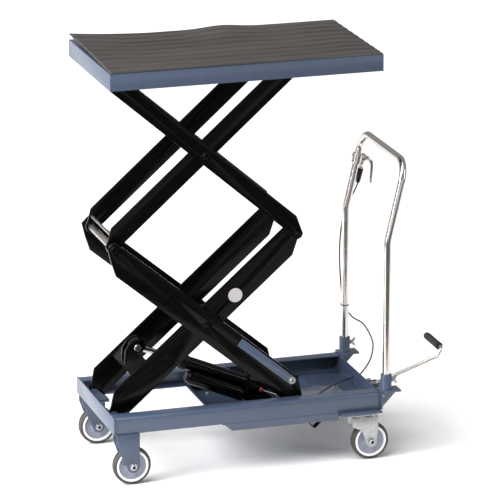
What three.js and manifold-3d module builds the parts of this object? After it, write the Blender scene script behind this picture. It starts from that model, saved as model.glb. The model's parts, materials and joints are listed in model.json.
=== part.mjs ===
// Double scissor lift table: a hand-pushed cart with a foot-pumped hydraulic ram.
// Millimetres, +Z up, +X toward the push handle, -Y the near side. The origin is on
// the floor, under the middle of the overall length and width. The table is drawn raised.
import * as THREE from 'three';
import { mergeVertices } from 'three/addons/utils/BufferGeometryUtils.js';
import Module from 'manifold-3d';

const wasm = await Module();
wasm.setup();

// ---------- driving dimensions ----------
const GAP = 0.3;               // clearance between separate pieces that touch
const BASE_LENGTH = 910;
const BASE_WIDTH = 460;
const HEADROOM = 49.5;         // from the top of the wheels to the underside of the base
const RAIL_HEIGHT = 56;
const RAIL_WALL = 4;
const RAIL_FLANGE = 50;
const RAIL_EDGE_RADIUS = 12;
const PLATFORM_LENGTH = 910;
const PLATFORM_WIDTH = 500;
const PLATFORM_DEPTH = 55;     // height of the folded skirt
const PLATFORM_START = -7;     // left end of the platform, from the left end of the base
const SHEET = 3;
const TRACK_WALL = 3.5;        // of the platform's roller tracks
const MAT_THICKNESS = 3;
const MAT_INSET = 2;
const WELL_DEPTH = 25.5;       // how far the tray's well hangs below the rails
const WELL_START = 375;
const WELL_END = 762;
const COVER = { start: 652, end: 848, near: -54, far: 38 };   // over the pedal's link

const ARM_PITCH = 842;         // between the two end pivots of every arm
const RAISED_ANGLE = 43;       // degrees, raised
const FOOT_PIVOT_X = 27;
const ARM_THICKNESS = 10;
const OUTER_ARM_Y = 164;       // outer face of the outer arms
const INNER_ARM_Y = 128;       // outer face of the inner arms
const ROLLER_WIDTH = 34;
const ROLLER_PLAY = 0.6;       // between a roller and its track, above and below
const CENTRE_PIN_RADIUS = 12;
const KNUCKLE_PIN_RADIUS = 9;
const FOOT_PIN_RADIUS = 8;
const SHAFT_RADIUS = 11;
const ROLLER_AXLE_RADIUS = 8;
const AXLE_SHOULDER_RADIUS = 12;

const WHEEL_RADIUS = 63.5;
const WHEEL_WIDTH = 32;
const AXLE_RADIUS = 6;
const FORK_WALL = 3;
const FORK_CLEARANCE = 6;      // between a wheel's face and its fork leg
const FIXED_WHEEL = { x: 63, y: 210 };
const CASTER_INSET = { x: 68, y: 206 };  // swivel axis from the base's right end and middle
const CASTER_TRAIL = 39;
const CASTER_MOUNT = { length: 140, width: 84, y: 205, overhang: 2 };
const CASTER_PLATE = { length: 104, width: 80 };
const RACE_RADIUS = 27;
const KINGPIN_RADIUS = 6;

const HANDLE_RADIUS = 12.5;
const HANDLE_OUT = 25.6;       // from the base's right end to the handle's straight tubes
const HANDLE_LEAN = 60.4;      // how much farther out its top is
const HANDLE_Y = 212;
const HANDLE_BEND_HEIGHT = 561.5;   // above the underside of the base, as the next
const HANDLE_HEIGHT = 826.5;
const HANDLE_BEND = 60;        // cut off each corner of the tube's route
const SOCKET_WALL = 6;
const SOCKET_HEIGHT = 52;
const LEVER_DROP = 91;         // from the top of the handle down to the lever's clamp

const RAM_FOOT_X = 598;
const RAM_FOOT_HEIGHT = 23.5;  // above the underside of the base
const RAM_PIN = { u: 213.2, v: 64.4 };   // on the inner arms, along and above their pivot line
const BARREL_RADIUS = 23;
const ROD_RADIUS = 11;
const RAM_PIN_RADIUS = 8;
const RAM_EYE_PLAY = 11;       // the eye's hole is opened by this much around its pin

const PEDAL_OUT = 21;          // from the base's right end to the pedal's shaft
const PEDAL_HEIGHT = 37.5;     // of the shaft, above the underside of the base
const PEDAL_Y = -100;
const PEDAL_REACH = { x: 239, z: 106 };  // from the shaft to the grip
const PEDAL_SHAFT_RADIUS = 7;
const PEDAL_ROD_RADIUS = 6.5;
const GRIP_RADIUS = 12.5;
const CRANK_LENGTH = 49;
const CRANK_LEAN = 12;         // degrees that the crank leans out at rest
const CABLE_RADIUS = 2.6;

// ---------- worked-out dimensions ----------
const RAD = Math.PI / 180;
const BASE_BOTTOM = 2 * WHEEL_RADIUS + HEADROOM;
const CASTER_PIVOT = { x: BASE_LENGTH - CASTER_INSET.x, y: CASTER_INSET.y };
const HANDLE_X = BASE_LENGTH + HANDLE_OUT;
const HANDLE_TOP_X = HANDLE_X + HANDLE_LEAN;
const HANDLE_BEND_Z = BASE_BOTTOM + HANDLE_BEND_HEIGHT;
const HANDLE_TOP_Z = BASE_BOTTOM + HANDLE_HEIGHT;
const RAM_FOOT = { x: RAM_FOOT_X, z: BASE_BOTTOM + RAM_FOOT_HEIGHT };
const PEDAL_PIVOT = { x: BASE_LENGTH + PEDAL_OUT, y: PEDAL_Y, z: BASE_BOTTOM + PEDAL_HEIGHT };
const baseTop = BASE_BOTTOM + RAIL_HEIGHT;
const footZ = BASE_BOTTOM + RAIL_HEIGHT / 2;
const armCos = Math.cos(RAISED_ANGLE * RAD);
const armSin = Math.sin(RAISED_ANGLE * RAD);
const rollerX = FOOT_PIVOT_X + ARM_PITCH * armCos;
const knuckleZ = footZ + ARM_PITCH * armSin;
const topPivotZ = footZ + 2 * ARM_PITCH * armSin;
const platformTop = topPivotZ + PLATFORM_DEPTH / 2;
const platformBottom = platformTop - PLATFORM_DEPTH;
const platformEnd = PLATFORM_START + PLATFORM_LENGTH;
const railOuter = BASE_WIDTH / 2;
const railInner = railOuter - RAIL_FLANGE;
const baseRollerRadius = (RAIL_HEIGHT - 2 * RAIL_WALL) / 2 - ROLLER_PLAY;
const platformRollerRadius = (PLATFORM_DEPTH - 2 * TRACK_WALL) / 2 - ROLLER_PLAY;
const ramPin = {
  x: FOOT_PIVOT_X + RAM_PIN.u * armCos - RAM_PIN.v * armSin,
  z: footZ + RAM_PIN.u * armSin + RAM_PIN.v * armCos,
};
const ramLength = Math.hypot(ramPin.x - RAM_FOOT.x, ramPin.z - RAM_FOOT.z);
const ramAngle = Math.atan2(ramPin.z - RAM_FOOT.z, RAM_FOOT.x - ramPin.x);
const forkHalf = WHEEL_WIDTH / 2 + FORK_CLEARANCE;

// ---------- solids ----------
function solidOf(geometry) {
  const bare = geometry.clone();
  bare.deleteAttribute('normal');
  bare.deleteAttribute('uv');
  const merged = mergeVertices(bare, 1e-4);
  return new wasm.Manifold(new wasm.Mesh({
    numProp: 3,
    vertProperties: new Float32Array(merged.attributes.position.array),
    triVerts: new Uint32Array(merged.index.array),
  }));
}

function geometryOf(solid) {
  const { numProp, vertProperties, triVerts } = solid.getMesh();
  const positions = new Float32Array(triVerts.length * 3);
  triVerts.forEach((vertex, corner) => {
    for (let k = 0; k < 3; k++) positions[corner * 3 + k] = vertProperties[vertex * numProp + k];
  });
  const geometry = new THREE.BufferGeometry();
  geometry.setAttribute('position', new THREE.BufferAttribute(positions, 3));
  geometry.computeVertexNormals();
  return geometry;
}

const join = (...pieces) => geometryOf(pieces.map(solidOf).reduce((sum, piece) => sum.add(piece)));
const cut = (body, ...tools) =>
  geometryOf(tools.map(solidOf).reduce((rest, tool) => rest.subtract(tool), solidOf(body)));

// A box between two corners.
function block(x0, x1, y0, y1, z0, z1) {
  const geometry = new THREE.BoxGeometry(x1 - x0, y1 - y0, z1 - z0);
  return geometry.translate((x0 + x1) / 2, (y0 + y1) / 2, (z0 + z1) / 2);
}

// Cylinders along each axis; a and b place the axis in the two other directions.
function cylinderY(radius, y0, y1, x, z, sides = 16) {
  const geometry = new THREE.CylinderGeometry(radius, radius, Math.abs(y1 - y0), sides);
  return geometry.translate(x, (y0 + y1) / 2, z);
}

function cylinderX(radius, x0, x1, y, z, sides = 16) {
  const geometry = new THREE.CylinderGeometry(radius, radius, x1 - x0, sides);
  return geometry.rotateZ(-Math.PI / 2).translate((x0 + x1) / 2, y, z);
}

function cylinderZ(radius, z0, z1, x, y, sides = 16) {
  const geometry = new THREE.CylinderGeometry(radius, radius, z1 - z0, sides);
  return geometry.rotateX(Math.PI / 2).translate(x, y, (z0 + z1) / 2);
}

function shapeOf(points) {
  return new THREE.Shape(points.map(([a, b]) => new THREE.Vector2(a, b)));
}

// A plate with an outline in the XZ plane, between two Y values.
function sidePlate(points, y0, y1) {
  const low = Math.min(y0, y1);
  const high = Math.max(y0, y1);
  const geometry = new THREE.ExtrudeGeometry(shapeOf(points), { depth: high - low, bevelEnabled: false });
  return geometry.rotateX(Math.PI / 2).translate(0, high, 0);
}

// A section in the YZ plane, drawn out along X.
function sectionAlongX(points, x0, x1) {
  const geometry = new THREE.ExtrudeGeometry(shapeOf(points), { depth: x1 - x0, bevelEnabled: false });
  const turn = new THREE.Matrix4().makeBasis(
    new THREE.Vector3(0, 1, 0), new THREE.Vector3(0, 0, 1), new THREE.Vector3(1, 0, 0));
  return geometry.applyMatrix4(turn).translate(x0, 0, 0);
}

// Points along an arc, angles in degrees.
function arc(cx, cz, radius, from, to, count = 8) {
  const points = [];
  for (let i = 0; i <= count; i++) {
    const angle = (from + (to - from) * i / count) * RAD;
    points.push([cx + radius * Math.cos(angle), cz + radius * Math.sin(angle)]);
  }
  return points;
}

// A path of straight stretches with rounded corners; radius 0 keeps a corner sharp.
function roundedPath(corners, radius) {
  const path = new THREE.CurvePath();
  const points = corners.map((corner) => new THREE.Vector3(...corner));
  let start = points[0];
  for (let i = 1; i < points.length - 1; i++) {
    const back = points[i - 1].clone().sub(points[i]).normalize();
    const on = points[i + 1].clone().sub(points[i]).normalize();
    const half = back.angleTo(on) / 2;
    const reach = radius / Math.tan(half);
    const enter = points[i].clone().addScaledVector(back, reach);
    const leave = points[i].clone().addScaledVector(on, reach);
    path.add(new THREE.LineCurve3(start, enter));
    path.add(new THREE.QuadraticBezierCurve3(enter, points[i], leave));
    start = leave;
  }
  path.add(new THREE.LineCurve3(start, points.at(-1)));
  return path;
}

function pipe(path, radius, steps, sides = 12) {
  const ring = new THREE.Shape().absarc(0, 0, radius, 0, 2 * Math.PI);
  return new THREE.ExtrudeGeometry(ring, { steps, curveSegments: sides / 2, extrudePath: path });
}

// ---------- materials ----------
const paint = (color, roughness, metalness) => ({ color, roughness, metalness });
const BLUE = paint(0x5f6b82, 0.42, 0.2);
const BLACK = paint(0x16140f, 0.28, 0.3);
const STEEL = paint(0xa8a29c, 0.3, 1);
const CHROME = paint(0xd8d8da, 0.08, 1);
const ZINC = paint(0xc9ccd0, 0.35, 0.9);
const RUBBER = paint(0x4a4644, 0.85, 0);
const DARK = paint(0x2b2a2a, 0.4, 0.5);

const table = new THREE.Group();

function addPiece(parent, name, geometry, material) {
  const mesh = new THREE.Mesh(geometry, new THREE.MeshStandardMaterial(material));
  mesh.name = name;
  parent.add(mesh);
}

const SIDES = [['near', -1], ['far', 1]];

// ---------- base frame ----------
function railSection(side) {
  const low = BASE_BOTTOM;
  const high = baseTop;
  const r = RAIL_EDGE_RADIUS;
  const outside = arc(-railOuter + r, high - r, r, 180, 90);
  const inside = arc(-railOuter + r, high - r, r - RAIL_WALL, 90, 180);
  const points = [
    [-railInner, low], [-railOuter, low], ...outside, [-railInner, high],
    [-railInner, high - RAIL_WALL], ...inside, [-railOuter + RAIL_WALL, low + RAIL_WALL],
    [-railInner, low + RAIL_WALL]];
  return points.map(([y, z]) => [-side * y, z]);
}

// The left end plate carries two lugs for each inner arm and the bolt through them.
function leftEnd() {
  const wall = block(0, RAIL_WALL, -railOuter, railOuter, BASE_BOTTOM, baseTop);
  const lugRadius = 19;
  const lugLength = 78;
  const outline = [
    [RAIL_WALL - 1, BASE_BOTTOM], [lugLength, BASE_BOTTOM], [lugLength, BASE_BOTTOM + 9],
    ...arc(FOOT_PIVOT_X, footZ, lugRadius, 48, 118), [RAIL_WALL - 1, footZ + lugRadius - 3]];
  const lugWall = 6;
  const play = 3;
  const inner = INNER_ARM_Y - ARM_THICKNESS - play;
  const outer = INNER_ARM_Y + play;
  const foot = [[1, BASE_BOTTOM], [lugLength, BASE_BOTTOM],
    [lugLength, BASE_BOTTOM + RAIL_WALL], [1, BASE_BOTTOM + RAIL_WALL]];
  const flange = 6;            // the foot plates and the bolt's heads stand out this far
  const pieces = [wall];
  for (const [, side] of SIDES) {
    for (const [face, way] of [[inner, -1], [outer, 1]]) {
      const back = face + way * lugWall;
      const edge = back + way * flange;
      pieces.push(sidePlate(outline, side * face, side * back));
      pieces.push(sidePlate(foot, side * face, side * edge));
      pieces.push(cylinderY(FOOT_PIN_RADIUS + 5, side * back, side * edge, FOOT_PIVOT_X, footZ, 6));
    }
    pieces.push(cylinderY(FOOT_PIN_RADIUS, side * (inner - lugWall - flange - 1),
      side * (outer + lugWall + flange + 1), FOOT_PIVOT_X, footZ));
  }
  return join(...pieces);
}

const LINK_Y = -38;
const LINK_RADIUS = 5;
const linkZ = PEDAL_PIVOT.z - CRANK_LENGTH * Math.cos(CRANK_LEAN * RAD);
const CABLE_HOLE = { y: 40, z: BASE_BOTTOM + 23.5 };
const CABLE_STOP = { x: 664, y: -66, z: BASE_BOTTOM + 1.5 };
const linkNotch = { depth: 12, half: 6 };   // in the tray's end, where the link's eye passes

// The tray closes the right half of the base and drops into a well under the ram.
function tray() {
  const top = BASE_BOTTOM - GAP;
  const floor = BASE_BOTTOM - WELL_DEPTH;
  const ramp = 25;
  const step = 5;
  const profile = [
    [WELL_START - 8, top - SHEET], [WELL_START - 1, top - SHEET], [WELL_START + ramp, floor],
    [WELL_END, floor], [WELL_END + step, top - SHEET], [BASE_LENGTH, top - SHEET],
    [BASE_LENGTH, top], [WELL_END + step - 2.5, top], [WELL_END - 2.5, floor + SHEET],
    [WELL_START + ramp + 1.3, floor + SHEET], [WELL_START, top], [WELL_START - 8, top]];
  const skirt = [[WELL_START, top], [WELL_START + ramp, floor], [WELL_END, floor], [WELL_END + step, top]];
  const pieces = [sidePlate(profile, -railOuter, railOuter)];
  for (const [, side] of SIDES) {
    pieces.push(sidePlate(skirt, side * (railOuter - SHEET), side * railOuter));
  }
  const stopTop = CABLE_STOP.z + 10;
  pieces.push(block(CABLE_STOP.x - 2, CABLE_STOP.x + 2, CABLE_STOP.y - 9, CABLE_STOP.y + 9,
    floor + SHEET - 1, stopTop));
  return cut(join(...pieces),
    cylinderX(LINK_RADIUS + 1.5, WELL_END - 12, WELL_END + 12, LINK_Y, linkZ),
    block(BASE_LENGTH - linkNotch.depth, BASE_LENGTH + 1, LINK_Y - linkNotch.half, LINK_Y + linkNotch.half,
      top - SHEET - 1, top + 1),
    cylinderX(CABLE_RADIUS + 0.8, CABLE_STOP.x - 5, CABLE_STOP.x + 5, CABLE_STOP.y, CABLE_STOP.z, 12));
}

function rightEndWall() {
  const wall = block(BASE_LENGTH - RAIL_WALL, BASE_LENGTH, -railOuter, railOuter, BASE_BOTTOM, baseTop);
  const hole = cylinderX(CABLE_RADIUS + 3, BASE_LENGTH - 8, BASE_LENGTH + 4, CABLE_HOLE.y, CABLE_HOLE.z, 12);
  return cut(wall, hole);
}

addPiece(table, 'base_left_end', leftEnd(), BLUE);
addPiece(table, 'base_right_end', rightEndWall(), BLUE);
addPiece(table, 'base_tray', tray(), BLUE);
for (const [label, side] of SIDES) {
  addPiece(table, `base_rail_${label}`,
    sectionAlongX(railSection(side), RAIL_WALL + GAP, BASE_LENGTH - RAIL_WALL - GAP), BLUE);
}

// ---------- wheels, forks and casters ----------
function wheelGeometry() {
  const half = WHEEL_WIDTH / 2;
  const bore = AXLE_RADIUS + GAP;
  const profile = [
    [bore, -half], [20, -half], [23, -half + 5], [42, -half + 5], [46, -half],
    [WHEEL_RADIUS - 4, -half], [WHEEL_RADIUS, -half + 7], [WHEEL_RADIUS, half - 7],
    [WHEEL_RADIUS - 4, half], [46, half], [42, half - 5], [23, half - 5], [20, half],
    [bore, half], [bore, -half]];
  return new THREE.LatheGeometry(profile.map(([r, y]) => new THREE.Vector2(r, y)), 24);
}

function axleGeometry(side, reach) {
  const headRadius = AXLE_RADIUS + 4;
  return join(
    cylinderY(AXLE_RADIUS, -reach - 8, reach + 8, 0, 0, 20),
    cylinderY(headRadius, side * (reach + GAP), side * (reach + 6), 0, 0, 6),
    cylinderY(headRadius, -side * (reach + GAP), -side * (reach + 7), 0, 0, 6));
}

function legOutline(top, leftTop, rightTop, radius, leftBelly) {
  return [
    [leftTop, top], [leftTop, top - 30], leftBelly,
    ...arc(0, 0, radius, 208, 360, 10), [rightTop, top - 40], [rightTop, top]];
}

function forkGeometry(outline, top, left, right, hole) {
  const outside = forkHalf + FORK_WALL;
  const pieces = [block(left, right, -outside, outside, top - FORK_WALL, top)];
  for (const [, side] of SIDES) pieces.push(sidePlate(outline, side * forkHalf, side * outside));
  const tools = [cylinderY(AXLE_RADIUS + GAP, -outside - 5, outside + 5, 0, 0, 20)];
  if (hole) tools.push(cylinderZ(hole.radius, top - 10, top + 5, hole.x, 0));
  return cut(join(...pieces), ...tools);
}

for (const [label, side] of SIDES) {
  const axle = new THREE.Group();
  axle.position.set(FIXED_WHEEL.x, side * FIXED_WHEEL.y, WHEEL_RADIUS);
  table.add(axle);
  const top = BASE_BOTTOM - GAP - WHEEL_RADIUS;
  const outline = legOutline(top, -55, 22, 20, [-38, 36]);
  addPiece(axle, `fixed_fork_${label}`, forkGeometry(outline, top, -55, 22), BLUE);
  addPiece(axle, `fixed_axle_${label}`, axleGeometry(side, forkHalf + FORK_WALL), ZINC);
  addPiece(axle, `wheel_left_${label}`, wheelGeometry(), RUBBER);
}

const casterPlateTop = BASE_BOTTOM - SHEET - 2 * GAP;
const MOUNT_PLATE = 8;
const TOP_PLATE = 4;
const RACE_HEIGHT = 9;
for (const [label, side] of SIDES) {
  const mountBottom = casterPlateTop - MOUNT_PLATE;
  const plateTop = mountBottom - GAP;
  const raceBottom = plateTop - TOP_PLATE - RACE_HEIGHT;
  addPiece(table, `caster_mount_${label}`,
    block(BASE_LENGTH - CASTER_MOUNT.length, BASE_LENGTH + CASTER_MOUNT.overhang,
      side * CASTER_MOUNT.y - CASTER_MOUNT.width / 2, side * CASTER_MOUNT.y + CASTER_MOUNT.width / 2,
      mountBottom, casterPlateTop), BLUE);

  const caster = new THREE.Group();
  caster.position.set(CASTER_PIVOT.x, side * CASTER_PIVOT.y, 0);
  table.add(caster);
  const nutBottom = raceBottom - 12;
  addPiece(caster, `caster_top_plate_${label}`, join(
    block(-CASTER_PLATE.length / 2, CASTER_PLATE.length / 2, -CASTER_PLATE.width / 2,
      CASTER_PLATE.width / 2, plateTop - TOP_PLATE, plateTop),
    cylinderZ(RACE_RADIUS, raceBottom, plateTop - 1, 0, 0),
    cylinderZ(KINGPIN_RADIUS, nutBottom, raceBottom + 1, 0, 0),
    cylinderZ(KINGPIN_RADIUS + 5, nutBottom, raceBottom - FORK_WALL - 2 * GAP, 0, 0, 6)), ZINC);

  const axle = new THREE.Group();
  axle.position.set(CASTER_TRAIL, 0, WHEEL_RADIUS);
  caster.add(axle);
  const top = raceBottom - GAP - WHEEL_RADIUS;
  const outline = legOutline(top, -CASTER_TRAIL - 28, 22, 18, [-36, 42]);
  addPiece(axle, `caster_fork_${label}`,
    forkGeometry(outline, top, -CASTER_TRAIL - 28, 22,
      { radius: KINGPIN_RADIUS + GAP, x: -CASTER_TRAIL }), ZINC);
  addPiece(axle, `caster_axle_${label}`, axleGeometry(side, forkHalf + FORK_WALL), ZINC);
  addPiece(axle, `wheel_right_${label}`, wheelGeometry(), RUBBER);
}

// ---------- scissor arms ----------
// Outlines run along u, from an arm's first pivot to its second, with v above the pivot
// line. A straight edge runs between edgeStart at u = 0 and edgeEnd at u = ARM_PITCH.
const ARMS = {
  lowerInner: { edgeStart: 62, edgeEnd: 34, depth: 90 },
  lowerOuter: { edgeStart: 68, edgeEnd: 22, depth: 88 },
  upperOuter: { edgeStart: 45, edgeEnd: 13.5, depth: 58 },
  upperInner: { edgeStart: 46, edgeEnd: 24, depth: 65 },
};

const topEdge = (arm, u) => arm.edgeStart + (arm.edgeEnd - arm.edgeStart) * u / ARM_PITCH;
const bottomEdge = (arm, u) => topEdge(arm, u) - arm.depth;

function armOutline(arm, start, end) {
  const startTop = start.top;
  const endTop = ARM_PITCH + end.top;
  const startBottom = start.bottom;
  const endBottom = ARM_PITCH + end.bottom;
  return [
    [startTop, topEdge(arm, startTop)], ...start.corners, [startBottom, bottomEdge(arm, startBottom)],
    [endBottom, bottomEdge(arm, endBottom)],
    ...end.corners.map(([u, v]) => [ARM_PITCH + u, v]), [endTop, topEdge(arm, endTop)]];
}

const OUTLINES = {
  lowerInner: armOutline(ARMS.lowerInner,
    { top: 61, bottom: -5, corners: [[14, 27], [-11, 16], [-20, 2], [-20, -13]] },
    { top: 8, bottom: -58, corners: [[-19, -33], [17, -12], [20, 10]] }),
  lowerOuter: armOutline(ARMS.lowerOuter,
    { top: 60, bottom: -8, corners: [[0, 27], [-18, 14], [-22, -4]] },
    { top: 17, bottom: -63, corners: [[-19, -38], [19, -13]] }),
  upperOuter: armOutline(ARMS.upperOuter,
    { top: 45, bottom: -2, corners: [[-13, 14], [-18, 0], [-11, -15]] },
    { top: 9, bottom: -22, corners: [[15, -16], [17, 0]] }),
  upperInner: armOutline(ARMS.upperInner,
    { top: 41, bottom: -5, corners: [[9, 25], [-14, 14], [-20, 0], [-17, -12]] },
    { top: -14, bottom: -24, corners: [[6, -22], [16, -6], [14, 8]] }),
};

// An arm plate on one side; face is the Y of its outer face. Inner arms point along +X
// from their first pivot, outer arms along -X.
function armPlate(key, direction, face, side) {
  const outline = OUTLINES[key].map(([u, v]) => [direction * u, v]);
  return sidePlate(outline, side * (face - ARM_THICKNESS), side * face);
}

function hole(radius, u, v = 0) {
  return cylinderY(radius, -railOuter, railOuter, u, v);
}

// A pin welded to an inner arm: a spacer up to the outer arm, the pin, and its cap.
function stubPin(radius, u, side) {
  const spacerEnd = OUTER_ARM_Y - ARM_THICKNESS - GAP;
  return [
    cylinderY(radius + 7, side * (INNER_ARM_Y - 1), side * spacerEnd, u, 0),
    cylinderY(radius, side * spacerEnd, side * (OUTER_ARM_Y + 4), u, 0),
    cylinderY(radius + 2, side * (OUTER_ARM_Y + GAP), side * (OUTER_ARM_Y + 3), u, 0)];
}

function armGroup(x, z, direction) {
  const group = new THREE.Group();
  group.position.set(x, 0, z);
  group.rotation.y = -direction * RAISED_ANGLE * RAD;
  table.add(group);
  return group;
}

const lowerInner = armGroup(FOOT_PIVOT_X, footZ, 1);
const lowerOuter = armGroup(rollerX, footZ, -1);
const upperOuter = armGroup(rollerX, knuckleZ, -1);
const upperInner = armGroup(FOOT_PIVOT_X, knuckleZ, 1);
const centre = ARM_PITCH / 2;
const PROP = { u: 68, v: 44, length: 231, width: 28, thickness: 6, pinRadius: 6 };

for (const [label, side] of SIDES) {
  const foot = join(armPlate('lowerInner', 1, INNER_ARM_Y, side),
    sidePlate([[30, -27], [248, -34], [262, -4], [238, 24], [36, 30]],
      side * (INNER_ARM_Y - 1), side * (INNER_ARM_Y + 2.5)),
    ...stubPin(CENTRE_PIN_RADIUS, centre, side), ...stubPin(KNUCKLE_PIN_RADIUS, ARM_PITCH, side));
  addPiece(lowerInner, `lower_inner_arm_${label}`, cut(foot, hole(FOOT_PIN_RADIUS + GAP, 0)), BLACK);

  const axleShoulder = railInner + 1;
  const lowerPieces = [armPlate('lowerOuter', -1, OUTER_ARM_Y, side),
    cylinderY(AXLE_SHOULDER_RADIUS, side * (OUTER_ARM_Y - 1), side * axleShoulder, 0, 0),
    cylinderY(ROLLER_AXLE_RADIUS, side * axleShoulder, side * (railOuter - RAIL_WALL - 2), 0, 0)];
  if (side < 0) {
    lowerPieces.push(cylinderY(PROP.pinRadius, -OUTER_ARM_Y + 1, -OUTER_ARM_Y - PROP.thickness - 5,
      -PROP.u, PROP.v));
    lowerPieces.push(cylinderY(PROP.pinRadius + 3, -OUTER_ARM_Y - PROP.thickness - 2 * GAP,
      -OUTER_ARM_Y - PROP.thickness - 4, -PROP.u, PROP.v));
  }
  addPiece(lowerOuter, `lower_outer_arm_${label}`, cut(join(...lowerPieces),
    hole(CENTRE_PIN_RADIUS + GAP, -centre), hole(SHAFT_RADIUS + GAP, -ARM_PITCH)), BLACK);

  const pinReach = 11;
  addPiece(upperOuter, `upper_outer_arm_${label}`, join(
    cut(armPlate('upperOuter', -1, OUTER_ARM_Y, side),
      hole(KNUCKLE_PIN_RADIUS + GAP, 0), hole(CENTRE_PIN_RADIUS + GAP, -centre)),
    cylinderY(KNUCKLE_PIN_RADIUS, side * (OUTER_ARM_Y - ARM_THICKNESS - pinReach),
      side * (OUTER_ARM_Y + pinReach), -ARM_PITCH, 0)), BLACK);

  const innerFace = INNER_ARM_Y - ARM_THICKNESS;
  const upper = join(armPlate('upperInner', 1, INNER_ARM_Y, side),
    ...stubPin(CENTRE_PIN_RADIUS, centre, side),
    cylinderY(AXLE_SHOULDER_RADIUS, side * (innerFace + 1), side * (innerFace - 3), ARM_PITCH, 0),
    cylinderY(ROLLER_AXLE_RADIUS, side * innerFace, side * (innerFace - ROLLER_WIDTH - 4), ARM_PITCH, 0));
  addPiece(upperInner, `upper_inner_arm_${label}`, cut(upper, hole(SHAFT_RADIUS + 2 * GAP, 0)), BLACK);
}

addPiece(lowerOuter, 'knuckle_shaft',
  cylinderY(SHAFT_RADIUS, -OUTER_ARM_Y - 1.5, OUTER_ARM_Y + 1.5, -ARM_PITCH, 0, 32), STEEL);
const tieReach = INNER_ARM_Y - ARM_THICKNESS - GAP;
addPiece(upperInner, 'knuckle_tie_rod', cylinderY(4.5, -tieReach, tieReach, 26, 26, 16), STEEL);

// The service prop hangs on the near outer arm, along its upper edge.
function propGeometry() {
  const tilt = (ARMS.lowerOuter.edgeStart - ARMS.lowerOuter.edgeEnd) / ARM_PITCH;
  const half = PROP.width / 2;
  const outline = [[-PROP.length, -half], ...arc(0, 0, half, -90, 90, 10), [-PROP.length, half]];
  const y0 = -OUTER_ARM_Y - GAP;
  const bar = cut(sidePlate(outline, y0 - PROP.thickness, y0),
    cylinderY(PROP.pinRadius + GAP, y0 - 20, y0 + 20, 0, 0));
  return bar.rotateY(-Math.atan(tilt)).translate(-PROP.u, 0, PROP.v);
}
addPiece(lowerOuter, 'service_prop', propGeometry(), BLUE);

// ---------- rollers ----------
function rollerGeometry(radius) {
  const half = ROLLER_WIDTH / 2;
  const bore = ROLLER_AXLE_RADIUS + GAP;
  const profile = [[bore, -half], [radius, -half], [radius, half], [bore, half], [bore, -half]];
  return new THREE.LatheGeometry(profile.map(([r, y]) => new THREE.Vector2(r, y)), 24);
}
for (const [label, side] of SIDES) {
  const low = new THREE.Group();
  low.position.set(rollerX, side * (railInner + 2 + ROLLER_WIDTH / 2), footZ);
  addPiece(low, `base_roller_${label}`, rollerGeometry(baseRollerRadius), STEEL);
  const high = new THREE.Group();
  const innerFace = INNER_ARM_Y - ARM_THICKNESS;
  high.position.set(rollerX, side * (innerFace - 3.5 - ROLLER_WIDTH / 2), topPivotZ);
  addPiece(high, `platform_roller_${label}`, rollerGeometry(platformRollerRadius), STEEL);
  table.add(low, high);
}

// ---------- platform ----------
// A folded sheet tray, open below, with a track for each roller and lugs for the outer arms.
function platformGeometry() {
  const half = PLATFORM_WIDTH / 2;
  const shell = cut(
    block(PLATFORM_START, platformEnd, -half, half, platformBottom, platformTop),
    block(PLATFORM_START + SHEET, platformEnd - SHEET, -half + SHEET, half - SHEET,
      platformBottom - 5, platformTop - SHEET));
  const under = platformTop - SHEET + 1;
  const track = platformRollerRadius + ROLLER_PLAY;
  const trackStart = rollerX - 60;
  const pieces = [shell];
  for (const [, side] of SIDES) {
    const open = INNER_ARM_Y - ARM_THICKNESS - 1.5;
    const web = open - ROLLER_WIDTH - 8;
    const spans = [[web - 3, web, platformBottom, under], [web - 1, open, topPivotZ + track, under],
      [web - 1, open, platformBottom, topPivotZ - track]];
    for (const [y0, y1, z0, z1] of spans) {
      pieces.push(block(trackStart, platformEnd - SHEET + 1, Math.min(side * y0, side * y1),
        Math.max(side * y0, side * y1), z0, z1));
    }
    const lug = [[FOOT_PIVOT_X - 22, under], [FOOT_PIVOT_X - 17, topPivotZ],
      ...arc(FOOT_PIVOT_X, topPivotZ, 17, 190, 350), [FOOT_PIVOT_X + 17, topPivotZ],
      [FOOT_PIVOT_X + 30, under]];
    const lugHole = cylinderY(KNUCKLE_PIN_RADIUS + GAP, -half, half, FOOT_PIVOT_X, topPivotZ);
    const inner = OUTER_ARM_Y - ARM_THICKNESS - 4;
    const outer = OUTER_ARM_Y + 4;
    pieces.push(cut(sidePlate(lug, side * (inner - 5), side * inner), lugHole));
    pieces.push(cut(sidePlate(lug, side * outer, side * (outer + 5)), lugHole));
  }
  return join(...pieces);
}
addPiece(table, 'platform', platformGeometry(), BLUE);
addPiece(table, 'rubber_mat', block(PLATFORM_START + MAT_INSET, platformEnd - MAT_INSET,
  -PLATFORM_WIDTH / 2 + MAT_INSET, PLATFORM_WIDTH / 2 - MAT_INSET,
  platformTop + GAP, platformTop + GAP + MAT_THICKNESS), RUBBER);

// ---------- hydraulic ram ----------
const CLEVIS_GAP = 14.5;
const CLEVIS_WALL = 9;
const EYE_HALF = 13;
const PLATE_SPAN = { start: 136, end: 206, thickness: 8 };

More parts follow.
